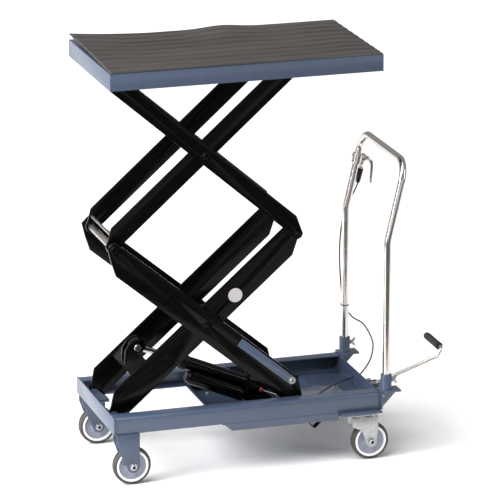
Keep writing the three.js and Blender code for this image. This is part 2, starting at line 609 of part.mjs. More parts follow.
// The cross plate between the inner arms, with the two cheeks that hold the ram's pin.
function clevisGeometry() {
  const top = topEdge(ARMS.lowerInner, PLATE_SPAN.start) - 3;
  const reach = INNER_ARM_Y - ARM_THICKNESS - GAP;
  const plate = block(PLATE_SPAN.start, PLATE_SPAN.end, -reach, reach, top - PLATE_SPAN.thickness, top);
  const notch = block(PLATE_SPAN.start + 28, PLATE_SPAN.end + 1, -CLEVIS_GAP, CLEVIS_GAP, top - 20, top + 20);
  const { u, v } = RAM_PIN;
  const cheek = [
    [PLATE_SPAN.start + 8, top - 1], [PLATE_SPAN.end - 2, top - 1], [u + 14, v - 25],
    ...arc(u, v, 29, -45, 100, 9), [u - 34, v + 22], [PLATE_SPAN.start + 20, top + 12]];
  const pieces = [cut(plate, notch)];
  for (const [, side] of SIDES) {
    pieces.push(sidePlate(cheek, side * CLEVIS_GAP, side * (CLEVIS_GAP + CLEVIS_WALL)));
  }
  return cut(join(...pieces), hole(RAM_PIN_RADIUS + GAP, u, v));
}
addPiece(lowerInner, 'ram_clevis', clevisGeometry(), BLACK);
const pinReach = CLEVIS_GAP + CLEVIS_WALL;
addPiece(lowerInner, 'clevis_pin', join(
  cylinderY(RAM_PIN_RADIUS, -pinReach - 5, pinReach + 6, RAM_PIN.u, RAM_PIN.v, 24),
  cylinderY(RAM_PIN_RADIUS + 4, -pinReach - 6, -pinReach - GAP, RAM_PIN.u, RAM_PIN.v, 24),
  cylinderY(RAM_PIN_RADIUS + 3, pinReach + GAP, pinReach + 4, RAM_PIN.u, RAM_PIN.v, 24)), STEEL);

const BARREL_START = 60;
const BARREL_END = 338;
const BARREL_BORE = 17;
const RESERVOIR = { y: -28, z: -37.5, start: 93 + GAP, end: 300, radius: 23 };
const FOOT_EYE_HALF = 20;
const VALVE_RADIUS = 2.5;
const RELEASE = { y: -66, z: 4 };
const PUMP = { y: LINK_Y, z: -22, radius: 6, end: 36 };

const ram = new THREE.Group();
ram.position.set(RAM_FOOT.x, 0, RAM_FOOT.z);
ram.rotation.y = ramAngle;
table.add(ram);

// Along the ram, -X is toward its rod. The block joins the barrel, the tank and the foot eye.
function barrelGeometry() {
  const pumpBlock = block(-BARREL_START - 33, -28, -50, 25, -50, 25);
  const foot = join(cylinderY(24, -FOOT_EYE_HALF, FOOT_EYE_HALF, 0, 0),
    block(-32, 0, -FOOT_EYE_HALF, FOOT_EYE_HALF, -22, 22));
  const pumpBody = block(-40, 0, PUMP.y - 11, PUMP.y + 11, PUMP.z - 11, PUMP.z + 11);
  const valveBoss = block(-86, -64, RELEASE.y - 8, -48, RELEASE.z - 9, RELEASE.z + 9);
  const gland = cylinderX(BARREL_RADIUS + 4, -BARREL_END, -BARREL_END + 26, 0, 0);
  const body = join(pumpBlock, foot, pumpBody, valveBoss,
    cylinderX(BARREL_RADIUS, -BARREL_END + 10, -BARREL_START - 10, 0, 0, 32), gland);
  return cut(body,
    cylinderX(BARREL_BORE, -BARREL_END + 6, -BARREL_START - 6, 0, 0),
    cylinderX(ROD_RADIUS + GAP, -BARREL_END - 1, -BARREL_END + 10, 0, 0),
    hole(10 + GAP, 0),
    cylinderX(VALVE_RADIUS + GAP, -90, -60, RELEASE.y, RELEASE.z, 12),
    cylinderX(PUMP.radius + GAP, -34, 10, PUMP.y, PUMP.z));
}
addPiece(ram, 'ram_barrel', barrelGeometry(), BLACK);
addPiece(ram, 'oil_reservoir', join(
  cylinderX(RESERVOIR.radius, -RESERVOIR.end, -RESERVOIR.start, RESERVOIR.y, RESERVOIR.z, 32),
  cylinderX(RESERVOIR.radius - 6, -RESERVOIR.end - 7, -RESERVOIR.end + 1, RESERVOIR.y, RESERVOIR.z)), DARK);

const rodTail = 195;
addPiece(ram, 'ram_rod', cut(join(
  cylinderX(ROD_RADIUS, -ramLength + 20, -rodTail, 0, 0),
  cylinderX(BARREL_BORE - GAP, -rodTail - 14, -rodTail, 0, 0),
  cylinderY(RAM_PIN_RADIUS + RAM_EYE_PLAY + 7, -EYE_HALF, EYE_HALF, -ramLength, 0)),
cylinderY(RAM_PIN_RADIUS + RAM_EYE_PLAY, -EYE_HALF - 5, EYE_HALF + 5, -ramLength, 0)), CHROME);
addPiece(ram, 'pump_plunger', join(
  cylinderX(PUMP.radius, 0, PUMP.end, PUMP.y, PUMP.z),
  cylinderX(PUMP.radius + 2, PUMP.end - 6, PUMP.end, PUMP.y, PUMP.z)), STEEL);
addPiece(ram, 'release_valve', join(
  cylinderX(7.5, -64 + GAP, -50, RELEASE.y, RELEASE.z),
  cylinderX(VALVE_RADIUS, -84, 56, RELEASE.y, RELEASE.z, 12)), paint(0x8c1f26, 0.5, 0));

// The foot of the ram turns on a pin through this bracket, which stands in the well.
function footBracket() {
  const floor = BASE_BOTTOM - WELL_DEPTH + SHEET + GAP;
  const cheek = [[RAM_FOOT.x - 34, floor], [RAM_FOOT.x + 34, floor],
    ...arc(RAM_FOOT.x, RAM_FOOT.z, 20, 0, 180)];
  const inner = FOOT_EYE_HALF + 1.5;
  return join(
    block(RAM_FOOT.x - 40, RAM_FOOT.x + 40, -inner - 6, inner + 6, floor, floor + 3),
    sidePlate(cheek, inner, inner + 5),
    sidePlate([[RAM_FOOT.x - 14, RAM_FOOT.z - 12], [RAM_FOOT.x - 14, floor], [RAM_FOOT.x + 14, floor],
      [RAM_FOOT.x + 14, RAM_FOOT.z - 12], ...arc(RAM_FOOT.x, RAM_FOOT.z, 18.4, -40, 220)],
    -inner, -inner - 5),
    cylinderY(10, -inner - 6, inner + 6, RAM_FOOT.x, RAM_FOOT.z));
}
addPiece(table, 'ram_foot_bracket', footBracket(), BLUE);

// ---------- push handle ----------
const socketBottom = baseTop + 2.5;
const socketTop = socketBottom + SOCKET_HEIGHT;
const handleFoot = socketBottom + 6;
const SCREW_DROP = 20;         // from a socket's top down to its thumb screw
const SCREW_RADIUS = 4;

function handleGeometry() {
  const path = roundedPath([
    [HANDLE_X, -HANDLE_Y, handleFoot], [HANDLE_X, -HANDLE_Y, HANDLE_BEND_Z],
    [HANDLE_TOP_X, -HANDLE_Y, HANDLE_TOP_Z], [HANDLE_TOP_X, HANDLE_Y, HANDLE_TOP_Z],
    [HANDLE_X, HANDLE_Y, HANDLE_BEND_Z], [HANDLE_X, HANDLE_Y, handleFoot]], HANDLE_BEND);
  return pipe(path, HANDLE_RADIUS, 60, 12);
}
addPiece(table, 'push_handle', handleGeometry(), CHROME);

// A socket on an angle bracket; the back plate bolts to the end wall and a gusset stiffens it.
const plateBack = BASE_LENGTH + GAP;
const SOCKET_LEDGE = { wall: 6, half: 26, reach: 44.4 };   // reach is past the handle's axis
for (const [label, side] of SIDES) {
  const y = side * HANDLE_Y;
  const { wall, half } = SOCKET_LEDGE;
  const ledgeEnd = HANDLE_X + SOCKET_LEDGE.reach;
  const ledgeTop = socketBottom + 1;
  const gussetBottom = BASE_BOTTOM - 2;
  const outline = [[plateBack, gussetBottom], [plateBack + 12, gussetBottom],
    [ledgeEnd - 5, ledgeTop - wall], [ledgeEnd - 5, ledgeTop], [plateBack, ledgeTop]];
  const bracket = join(
    block(plateBack, plateBack + wall, y - half, y + half, gussetBottom, ledgeTop),
    block(plateBack, ledgeEnd, y - half, y + half, ledgeTop - wall, ledgeTop),
    sidePlate(outline, y - wall / 2, y + wall / 2),
    cylinderZ(HANDLE_RADIUS + SOCKET_WALL, ledgeTop - 1, socketTop, HANDLE_X, y, 32));
  addPiece(table, `handle_socket_${label}`, cut(bracket,
    cylinderZ(HANDLE_RADIUS + GAP, handleFoot - GAP, socketTop + 1, HANDLE_X, y, 36),
    cylinderX(SCREW_RADIUS + GAP, HANDLE_X + 2, HANDLE_X + 40, y, socketTop - SCREW_DROP, 16)), BLUE);
  const screw = new THREE.Group();
  screw.position.set(HANDLE_X + HANDLE_RADIUS + GAP, y, socketTop - SCREW_DROP);
  table.add(screw);
  addPiece(screw, `thumb_screw_${label}`, join(
    cylinderX(SCREW_RADIUS, 0, 14, 0, 0, 16),
    cylinderX(SCREW_RADIUS + 3, SOCKET_WALL + GAP, SOCKET_WALL + 9, 0, 0, 20),
    block(SOCKET_WALL + 7, SOCKET_WALL + 20, -3, 3, -15, 15)), ZINC);
}

// ---------- release lever, cable and clip ----------
const clampZ = HANDLE_TOP_Z - LEVER_DROP;
const handleLean = Math.atan2(HANDLE_TOP_X - HANDLE_X, HANDLE_TOP_Z - HANDLE_BEND_Z);
const clampTurn = new THREE.Group();
const along = (clampZ - HANDLE_BEND_Z) / (HANDLE_TOP_Z - HANDLE_BEND_Z);
const clampX = HANDLE_X + (HANDLE_TOP_X - HANDLE_X) * along;
clampTurn.position.set(clampX, HANDLE_Y, clampZ);
clampTurn.rotation.y = handleLean;
table.add(clampTurn);
const CHEEK = 8;               // half the gap that the lever turns in
const LEVER_PIVOT = { x: 25, z: 8, radius: 3.5 };
const BOOT_X = 22;             // the cable's axis, from the handle tube's

addPiece(clampTurn, 'lever_clamp', cut(join(
  cylinderZ(HANDLE_RADIUS + 5, -17, 17, 0, 0, 32),
  block(HANDLE_RADIUS, 34, -CHEEK - 3.5, CHEEK + 3.5, -8, 17),
  cylinderZ(7, -34, -7, BOOT_X, 0, 20)),
cylinderZ(HANDLE_RADIUS + GAP, -30, 30, 0, 0, 32),
block(HANDLE_RADIUS + 7, 40, -CHEEK, CHEEK, -6.5, 20),
cylinderZ(CABLE_RADIUS + GAP, -40, 0, BOOT_X, 0, 16),
cylinderY(LEVER_PIVOT.radius + GAP, -20, 20, LEVER_PIVOT.x, LEVER_PIVOT.z, 20)), CHROME);
const lever = new THREE.Group();
lever.position.set(LEVER_PIVOT.x, 0, LEVER_PIVOT.z);
clampTurn.add(lever);
addPiece(lever, 'release_lever', join(
  sidePlate([[-4, -5], [4, -5], [20, -14], [28, -30], [32, -62], [37, -86], [45, -85], [41, -62],
    [38, -28], [30, -6], [12, 7], [-4, 5]], -CHEEK + 1, CHEEK - 1),
  cylinderY(LEVER_PIVOT.radius, -CHEEK - 5, CHEEK + 5, 0, 0, 20)), CHROME);
addPiece(clampTurn, 'cable_boot', cut(
  cylinderZ(9.5, -84, -34 - GAP, BOOT_X, 0, 24),
  cylinderZ(CABLE_RADIUS + 1.4, -90, -30, BOOT_X, 0, 16)), DARK);

// The cable starts in the boot, hangs in a bow beside the handle, passes the end wall
// and runs along the well to the release valve.
const bootAxis = (distance) => {
  const down = new THREE.Vector3(BOOT_X, 0, distance);
  down.applyAxisAngle(new THREE.Vector3(0, 1, 0), handleLean);
  return [clampX + down.x, HANDLE_Y, clampZ + down.z];
};
function cableGeometry() {
  const points = [
    bootAxis(-12), bootAxis(-46), bootAxis(-86), [966, 219, 790], [948, 229, 750], [931, 231, 695],
    [922, 231, 600], [925, 231, 500], [937, 231, 401], [966, 226, 352], [1003, 210, 325],
    [1022, 172, 274], [997, 115, 238], [957, 68, 214],
    [925, CABLE_HOLE.y + 3, CABLE_HOLE.z + 1.5], [BASE_LENGTH - 25, CABLE_HOLE.y - 6, CABLE_HOLE.z - 3],
    [820, -6, 194], [745, -62, 187], [697, CABLE_STOP.y, CABLE_STOP.z + 1.5],
    [CABLE_STOP.x - 6, CABLE_STOP.y, CABLE_STOP.z]];
  const places = points.map((point) => new THREE.Vector3(...point));
  const curve = new THREE.CatmullRomCurve3(places, false, 'centripetal');
  return pipe(curve, CABLE_RADIUS, 70, 8);
}
addPiece(table, 'release_cable', cableGeometry(), DARK);

// ---------- pedal ----------
const pedalCheek = (y0, y1) =>
  block(plateBack + 1, PEDAL_PIVOT.x + 17, y0, y1, PEDAL_PIVOT.z - 22, PEDAL_PIVOT.z + 12);
addPiece(table, 'pedal_bracket', cut(join(
  block(plateBack, plateBack + 5, PEDAL_Y - 26, PEDAL_Y + 26, BASE_BOTTOM - 18, BASE_BOTTOM + 50),
  pedalCheek(PEDAL_Y - 21, PEDAL_Y - 16), pedalCheek(PEDAL_Y + 16, PEDAL_Y + 21)),
cylinderY(PEDAL_SHAFT_RADIUS + GAP, -railOuter, railOuter, PEDAL_PIVOT.x, PEDAL_PIVOT.z)), BLUE);

// The pedal turns on a shaft across its bracket; the arm cranks out to a cross grip.
const pedal = new THREE.Group();
pedal.position.set(PEDAL_PIVOT.x, PEDAL_PIVOT.y, PEDAL_PIVOT.z);
table.add(pedal);
const tipX = PEDAL_REACH.x;
const tipZ = PEDAL_REACH.z;
const crankY = LINK_Y - PEDAL_Y;
const GRIP = { start: 22, end: 138 };
const CRANK_PIN_RADIUS = 4;

function pedalArmGeometry() {
  const path = roundedPath([
    [0, 0, 0], [72, 0, 26], [tipX - 14, 0, tipZ - 28], [tipX, 0, tipZ], [tipX, GRIP.end + 2, tipZ]], 9);
  const lean = Math.sin(CRANK_LEAN * RAD) * CRANK_LENGTH;
  const drop = Math.cos(CRANK_LEAN * RAD) * CRANK_LENGTH;
  const crank = [[-8, 4], [8, 4], [lean + 6, -drop - 1], [lean - 6, -drop - 1]];
  return join(
    cylinderY(PEDAL_SHAFT_RADIUS, -23, crankY - 9, 0, 0),
    cylinderY(11, -14, 14, 0, 0),
    pipe(path, PEDAL_ROD_RADIUS, 34, 10),
    sidePlate(crank, crankY - 15, crankY - 9),
    cylinderY(CRANK_PIN_RADIUS, crankY - 15, crankY + 5, lean, -drop, 16));
}
addPiece(pedal, 'pedal_arm', pedalArmGeometry(), CHROME);
addPiece(pedal, 'pedal_grip', cut(cylinderY(GRIP_RADIUS, GRIP.start, GRIP.end + 8, tipX, tipZ, 24),
  cylinderY(PEDAL_ROD_RADIUS + GAP, GRIP.start - 1, GRIP.end + 2 + GAP, tipX, tipZ, 24)), RUBBER);

// The link runs from the crank, under the tray's floor and into the well, to the plunger.
const PLUNGER_GAP = 7.5;
const LINK_PLAY = 1.6;
const plungerTipX = RAM_FOOT.x + PUMP.end * Math.cos(ramAngle)
  + (PUMP.z + PUMP.radius + 2) * Math.sin(ramAngle);
const crankPinX = PEDAL_PIVOT.x + CRANK_LENGTH * Math.sin(CRANK_LEAN * RAD);
addPiece(table, 'pedal_link', cut(join(
  cylinderX(LINK_RADIUS, plungerTipX + PLUNGER_GAP, crankPinX - 8, LINK_Y, linkZ, 16),
  cylinderY(CRANK_PIN_RADIUS + LINK_PLAY + 4, LINK_Y - 3, LINK_Y + 3, crankPinX, linkZ, 24)),
cylinderY(CRANK_PIN_RADIUS + LINK_PLAY, LINK_Y - 5, LINK_Y + 5, crankPinX, linkZ, 24)), STEEL);
addPiece(table, 'linkage_cover',
  block(COVER.start, COVER.end, COVER.near, COVER.far, BASE_BOTTOM + 1, BASE_BOTTOM + 3), ZINC);

// ---------- export ----------
const frame = new THREE.Group();
frame.add(table);
const overallStart = Math.min(PLATFORM_START, FIXED_WHEEL.x - WHEEL_RADIUS);
const overallEnd = PEDAL_PIVOT.x + PEDAL_REACH.x + GRIP_RADIUS;
table.position.x = -(overallStart + overallEnd) / 2;

export default frame;
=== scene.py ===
"""Looks for a double scissor lift table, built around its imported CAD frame."""

import json
import math

import bmesh
import bpy
from mathutils import Matrix, Vector


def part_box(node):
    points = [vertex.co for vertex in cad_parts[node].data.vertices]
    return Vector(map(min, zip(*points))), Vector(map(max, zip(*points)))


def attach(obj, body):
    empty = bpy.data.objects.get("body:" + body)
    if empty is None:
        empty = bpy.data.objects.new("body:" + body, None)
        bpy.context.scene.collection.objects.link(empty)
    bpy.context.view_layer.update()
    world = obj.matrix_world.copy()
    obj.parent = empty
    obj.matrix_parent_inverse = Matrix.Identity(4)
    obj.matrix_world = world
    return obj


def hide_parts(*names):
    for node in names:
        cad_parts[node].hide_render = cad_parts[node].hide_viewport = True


bl_info = {
    "name": "Scissor Lift Table",
    "version": (1, 0, 0),
    "blender": (4, 5, 0),
    "location": "View3D > Sidebar > Lift Table",
    "description": "Builds the finished surfaces of a hand-pushed double scissor lift table",
    "category": "Add Mesh",
}

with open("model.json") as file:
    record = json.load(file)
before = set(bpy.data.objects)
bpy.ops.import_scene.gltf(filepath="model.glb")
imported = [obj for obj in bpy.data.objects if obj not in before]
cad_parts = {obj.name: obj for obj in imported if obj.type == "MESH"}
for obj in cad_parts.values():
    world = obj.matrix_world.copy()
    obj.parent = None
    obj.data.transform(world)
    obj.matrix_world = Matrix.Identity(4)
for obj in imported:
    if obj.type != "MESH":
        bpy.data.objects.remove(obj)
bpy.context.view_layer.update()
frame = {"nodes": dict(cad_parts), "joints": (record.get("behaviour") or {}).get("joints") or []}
NODES = frame["nodes"]
JOINTS = {joint["name"]: joint for joint in frame["joints"]}

MM = 0.001
SIDES = (("near", -1), ("far", 1))
X, Y, Z = Vector((1, 0, 0)), Vector((0, 1, 0)), Vector((0, 0, 1))


def pivot(joint, y=0.0):
    """A joint's place in the side view, with the Y that is asked for."""
    place = JOINTS[joint]["pos_m"]
    return Vector((place[0], y, place[2]))


def middle(node):
    low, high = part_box(node)
    return (low + high) / 2


# ---------- settings ----------


class LiftTablePaint(bpy.types.PropertyGroup):
    """Colours of the finishes."""

    frame_colour: bpy.props.FloatVectorProperty(
        name="Frame colour", description="Paint on the base, platform and brackets",
        default=(0.045, 0.066, 0.111), size=3, min=0, max=1, subtype="COLOR")
    arm_colour: bpy.props.FloatVectorProperty(
        name="Arm colour", description="Gloss paint on the scissor arms and the ram",
        default=(0.0012, 0.0011, 0.001), size=3, min=0, max=1, subtype="COLOR")
    mat_colour: bpy.props.FloatVectorProperty(
        name="Mat colour", description="Rubber mat on the platform",
        default=(0.072, 0.066, 0.063), size=3, min=0, max=1, subtype="COLOR")
    tyre_colour: bpy.props.FloatVectorProperty(
        name="Tyre colour", description="Tread of the casters",
        default=(0.05, 0.045, 0.042), size=3, min=0, max=1, subtype="COLOR")
    hub_colour: bpy.props.FloatVectorProperty(
        name="Hub colour", description="Moulded discs of the wheels",
        default=(0.24, 0.255, 0.32), size=3, min=0, max=1, subtype="COLOR")
    cap_colour: bpy.props.FloatVectorProperty(
        name="Valve cap colour", description="Cap of the release valve",
        default=(0.33, 0.03, 0.045), size=3, min=0, max=1, subtype="COLOR")


class LiftTableSizes(bpy.types.PropertyGroup):
    """Sizes of the details that the frame leaves open."""

    edge_round: bpy.props.FloatProperty(
        name="Edge round", description="Radius on the edges of plates",
        default=1.1 * MM, min=0, unit="LENGTH")
    rib_pitch: bpy.props.FloatProperty(
        name="Rib pitch", description="Distance between the ribs of the mat",
        default=9.6 * MM, min=4 * MM, unit="LENGTH")
    rib_height: bpy.props.FloatProperty(
        name="Rib height", description="Height of the ribs of the mat",
        default=1.3 * MM, min=0, unit="LENGTH")
    mat_wave: bpy.props.FloatProperty(
        name="Mat wave", description="How far the loose mat lifts off the platform",
        default=2.2 * MM, min=0, unit="LENGTH")
    mat_curl: bpy.props.FloatProperty(
        name="Mat curl", description="How far the mat's far left corner lifts",
        default=17 * MM, min=0, unit="LENGTH")
    mat_hump: bpy.props.FloatProperty(
        name="Mat hump", description="Height of the hump on the mat's far edge",
        default=9 * MM, min=0, unit="LENGTH")
    camera_distance: bpy.props.FloatProperty(
        name="Camera distance", description="From the camera to the point that it looks at",
        default=13.055, min=1, unit="LENGTH")
    camera_azimuth: bpy.props.FloatProperty(
        name="Camera azimuth", description="Angle of the view round the table",
        default=math.radians(-17.5), subtype="ANGLE")
    camera_elevation: bpy.props.FloatProperty(
        name="Camera elevation", description="Height of the view above the horizon",
        default=math.radians(16.5), subtype="ANGLE")


# ---------- materials ----------


class Shade:
    """A socket of a material's tree, with Python's operators standing for Math nodes."""

    def __init__(self, finish, socket):
        self.finish = finish
        self.socket = socket

    def math(self, operation, *others):
        return self.finish.node("ShaderNodeMath", {"operation": operation}, [self, *others])

    def __add__(self, other):
        return self.math("ADD", other)

    __radd__ = __add__

    def __sub__(self, other):
        return self.math("SUBTRACT", other)

    def __rsub__(self, other):
        return self.finish.node("ShaderNodeMath", {"operation": "SUBTRACT"}, [other, self])

    def __mul__(self, other):
        return self.math("MULTIPLY", other)

    __rmul__ = __mul__

    def __truediv__(self, other):
        return self.math("DIVIDE", other)

    def __pow__(self, other):
        return self.math("POWER", other)

    def clamped(self):
        return self.finish.node("ShaderNodeClamp", {}, [self, 0.0, 1.0])

    def between(self, low, high):
        """0 at low, 1 at high, straight between and flat outside."""
        return ((self - low) / (high - low)).clamped()


class Tree:
    """A node tree that is filled in through one method."""

    tree = None

    def node(self, kind, settings, inputs, output=0):
        made = self.tree.nodes.new(kind)
        for key, value in settings.items():
            if key == "stops":
                self._stops(made.color_ramp, value)
            else:
                setattr(made, key, value)
        pairs = inputs.items() if isinstance(inputs, dict) else enumerate(inputs)
        for key, value in pairs:
            if isinstance(value, Shade):
                self.tree.links.new(value.socket, made.inputs[key])
            else:
                made.inputs[key].default_value = value
        return Shade(self, made.outputs[output])

    def _stops(self, ramp, stops):
        while len(ramp.elements) < len(stops):
            ramp.elements.new(1.0)
        for element, (place, level) in zip(ramp.elements, stops):
            element.position = place
            element.color = (level, level, level, 1)


class Finish(Tree):
    """A procedural material with one Principled shader."""

    def __init__(self, name, **sockets):
        self.material = bpy.data.materials.new(name)
        self.material.use_nodes = True
        self.tree = self.material.node_tree
        self.shader = self.tree.nodes["Principled BSDF"]
        for socket, value in sockets.items():
            self.shader.inputs[socket.replace("_", " ")].default_value = value

    def place(self, scale=(1, 1, 1), shift=(0, 0, 0), turn=(0, 0, 0)):
        spot = self.node("ShaderNodeTexCoord", {}, [], "Object")
        return self.node("ShaderNodeMapping", {}, {
            "Vector": spot, "Location": shift, "Rotation": turn, "Scale": scale})

    def axis(self, letter, place=None):
        place = place or self.place()
        return self.node("ShaderNodeSeparateXYZ", {}, [place], letter)

    def noise(self, scale, detail=4.0, roughness=0.55, place=None):
        return self.node("ShaderNodeTexNoise", {}, {
            "Vector": place or self.place(), "Scale": scale, "Detail": detail, "Roughness": roughness})

    def cells(self, scale, place=None):
        return self.node("ShaderNodeTexVoronoi", {}, {"Vector": place or self.place(), "Scale": scale})

    def mix(self, mask, first, second):
        first, second = [(*c, 1.0) if isinstance(c, (tuple, list)) and len(c) == 3 else c
                         for c in (first, second)]
        return self.node("ShaderNodeMix", {"data_type": "RGBA"}, {0: mask, 6: first, 7: second}, 2)

    def bump(self, height, distance, strength=1.0, under=None):
        inputs = {"Height": height, "Distance": distance, "Strength": strength}
        if under:
            inputs["Normal"] = under
        return self.node("ShaderNodeBump", {}, inputs)

    def feed(self, **links):
        for socket, value in links.items():
            self.tree.links.new(value.socket, self.shader.inputs[socket.replace("_", " ")])
        return self.material


def tint(colour, factor):
    return tuple(min(1.0, part * factor) for part in colour)


def painted(name, colour, rough, coat, grain):
    """Sprayed paint: fine orange peel, faint mottling, dust and small scuffs."""
    finish = Finish(name, Coat_Weight=coat, Coat_Roughness=0.12)
    cloud = finish.noise(5, 5)
    speck = finish.noise(170, 3)
    scuff = finish.noise(26, 8, 0.7, finish.place(scale=(1, 1, 3))).between(0.63, 0.72)
    dust = finish.noise(60, 6, 0.65).between(0.5, 0.8)
    base = finish.mix(cloud, tint(colour, 0.94), tint(colour, 1.06))
    worn = finish.mix(scuff * 0.12, base, tint(colour, 1.6))
    dusty = finish.mix(dust * 0.03, worn, (0.5, 0.48, 0.45))
    peel = finish.bump(speck, 0.00025 * grain, 0.5)
    soft = finish.bump(finish.noise(28, 2), 0.0006 * grain, 0.35, peel)
    return finish.feed(Base_Color=dusty, Roughness=rough + scuff * 0.18 + dust * 0.1 + cloud * 0.04,
                       Normal=soft)


def black_paint(name, colour):
    """Gloss enamel on sawn plate: a long soft ripple, fine dust and light handling marks."""
    finish = Finish(name, Specular_IOR_Level=0.14)
    ripple = finish.noise(14, 3)
    smear = finish.noise(9, 7, 0.7, finish.place(scale=(1, 1, 2.2))).between(0.45, 0.75)
    dust = finish.noise(140, 4, 0.7).between(0.55, 0.85)
    base = finish.mix(smear * 0.4, colour, tint(colour, 1.8))
    dusty = finish.mix(dust * 0.008, base, (0.35, 0.33, 0.3))
    wave = finish.bump(ripple, 0.0012, 0.3)
    peel = finish.bump(finish.noise(240, 2), 0.00012, 0.4, wave)
    return finish.feed(Base_Color=dusty, Roughness=0.16 + smear * 0.14 + dust * 0.15, Normal=peel)


def plated(name, colour, rough, streaks):
    """Bright metal with fine drawn or turned lines, smudges and small dull spots."""
    finish = Finish(name, Metallic=1.0, Specular_IOR_Level=0.5)
    lines = finish.noise(30, 6, 0.7, finish.place(scale=streaks))
    smudge = finish.noise(18, 5).between(0.4, 0.75)
    spot = finish.noise(90, 5, 0.7).between(0.66, 0.74)
    base = finish.mix(lines, tint(colour, 0.88), tint(colour, 1.08))
    dull = finish.mix(smudge * 0.25, base, tint(colour, 0.72))
    spotted = finish.mix(spot * 0.5, dull, tint(colour, 0.45))
    normal = finish.bump(lines, 0.00012, 0.35)
    return finish.feed(Base_Color=spotted, Roughness=rough + smudge * 0.14 + lines * 0.08 + spot * 0.2,
                       Normal=normal)


def zinc_plate(name, colour):
    """Bright zinc with its faint crystal patches."""
    finish = Finish(name, Metallic=0.85)
    patch = finish.cells(90)
    smudge = finish.noise(22, 6).between(0.35, 0.8)
    base = finish.mix(patch, tint(colour, 0.86), tint(colour, 1.1))
    dull = finish.mix(smudge * 0.35, base, tint(colour, 0.7))
    normal = finish.bump(finish.noise(120, 4), 0.00025, 0.4)
    return finish.feed(Base_Color=dull, Roughness=0.24 + smudge * 0.2 + patch * 0.08, Normal=normal)


def ribbed_rubber(name, colour, pitch):
    """Ribbed sheet rubber: painted shade darkening the grooves, long darker bands that wander, and dust on
    the ribs.
    """
    finish = Finish(name, Specular_IOR_Level=0.3)
    y = finish.axis("Y")
    rib = (y * (2 * math.pi / pitch)).math("COSINE").between(-0.5, 0.4)
    drift = finish.noise(3.2, 3, 0.5, finish.place(scale=(1, 0.5, 1))) * 9
    furrow = (y * (2 * math.pi / 0.054) + drift).math("SINE").between(-0.2, 0.9)
    patch = finish.noise(7, 5, 0.6, finish.place(scale=(0.35, 1, 1))).between(0.42, 0.72)
    fine = finish.noise(260, 3)
    grained = finish.mix(fine, tint(colour, 0.82), tint(colour, 1.18))
    # Painted shade: the grooves between the ribs are darkened to 0.4 of the rubber colour.
    groove_painted_shade = finish.mix(rib, tint(colour, 0.4), grained)
    banded = finish.mix(furrow * 0.6, groove_painted_shade, tint(colour, 0.34))
    dusty = finish.mix(patch * 0.3, banded, tint(colour, 1.5))
    normal = finish.bump(fine, 0.0002, 0.6)
    return finish.feed(Base_Color=dusty, Roughness=0.66 - rib * 0.08 + patch * 0.08, Normal=normal)


def rubber(name, colour, rough, grain=300):
    """Moulded rubber with a fine grain and pale bloom."""
    finish = Finish(name, Specular_IOR_Level=0.35)
    bloom = finish.noise(12, 6, 0.65).between(0.42, 0.8)
    fine = finish.noise(grain, 3)
    base = finish.mix(fine, tint(colour, 0.8), tint(colour, 1.15))
    pale = finish.mix(bloom * 0.28, base, tint(colour, 1.9))
    normal = finish.bump(fine, 0.0002, 0.6)
    return finish.feed(Base_Color=pale, Roughness=rough + bloom * 0.08, Normal=normal)


def plastic(name, colour, rough):
    """Moulded plastic with a spark-eroded grain."""
    finish = Finish(name, Specular_IOR_Level=0.5)
    grain = finish.noise(420, 2)
    wear = finish.noise(40, 6, 0.7).between(0.6, 0.8)
    base = finish.mix(wear * 0.3, colour, tint(colour, 1.8))
    normal = finish.bump(grain, 0.00018, 0.5)
    return finish.feed(Base_Color=base, Roughness=rough + wear * 0.12, Normal=normal)


def stage_floor(name):
    finish = Finish(name, Roughness=0.7, Specular_IOR_Level=0.1)
    grain = finish.noise(3, 4)
    return finish.feed(Base_Color=finish.mix(grain, (0.93, 0.93, 0.93), (0.95, 0.95, 0.95)))


MATERIALS = {}


def make_materials(paint, sizes):
    MATERIALS.update(
        blue=painted("blue_paint", tuple(paint.frame_colour), 0.3, 0.25, 1.0),
        black=black_paint("black_paint", tuple(paint.arm_colour)),
        zinc=zinc_plate("bright_zinc", (0.42, 0.42, 0.42)),
        steel=plated("turned_steel", (0.56, 0.53, 0.5), 0.26, (40, 2, 40)),
        plate=plated("cover_steel", (0.44, 0.47, 0.56), 0.34, (2, 60, 2)),
        chrome=plated("polished_chrome", (0.7, 0.655, 0.63), 0.09, (30, 30, 1)),
        mat=ribbed_rubber("mat_rubber", tuple(paint.mat_colour), sizes.rib_pitch),
        label=plastic("round_label", (0.45, 0.43, 0.44), 0.5),
        tyre=rubber("tyre_rubber", tuple(paint.tyre_colour), 0.5, 320),
        black_rubber=rubber("black_rubber", (0.018, 0.017, 0.017), 0.5, 380),
        hub=plastic("hub_nylon", tuple(paint.hub_colour), 0.42),
        rim=plastic("rim_nylon", (0.8, 0.8, 0.78), 0.38),
        dark=plastic("dark_plastic", (0.022, 0.022, 0.023), 0.36),
        red=plastic("red_cap_plastic", tuple(paint.cap_colour), 0.3),
    )


# ---------- building blocks ----------


def finish_mesh(shape, name, sharp=32):
    """Turns a bmesh into an object with smooth faces and sharp creases."""
    mesh = bpy.data.meshes.new(name)
    for face in shape.faces:
        face.smooth = True
    for edge in shape.edges:
        bent = len(edge.link_faces) == 2 and edge.calc_face_angle(0) > math.radians(sharp)
        edge.smooth = not bent
    shape.to_mesh(mesh)
    shape.free()
    piece = bpy.data.objects.new(name, mesh)
    bpy.context.scene.collection.objects.link(piece)
    return piece


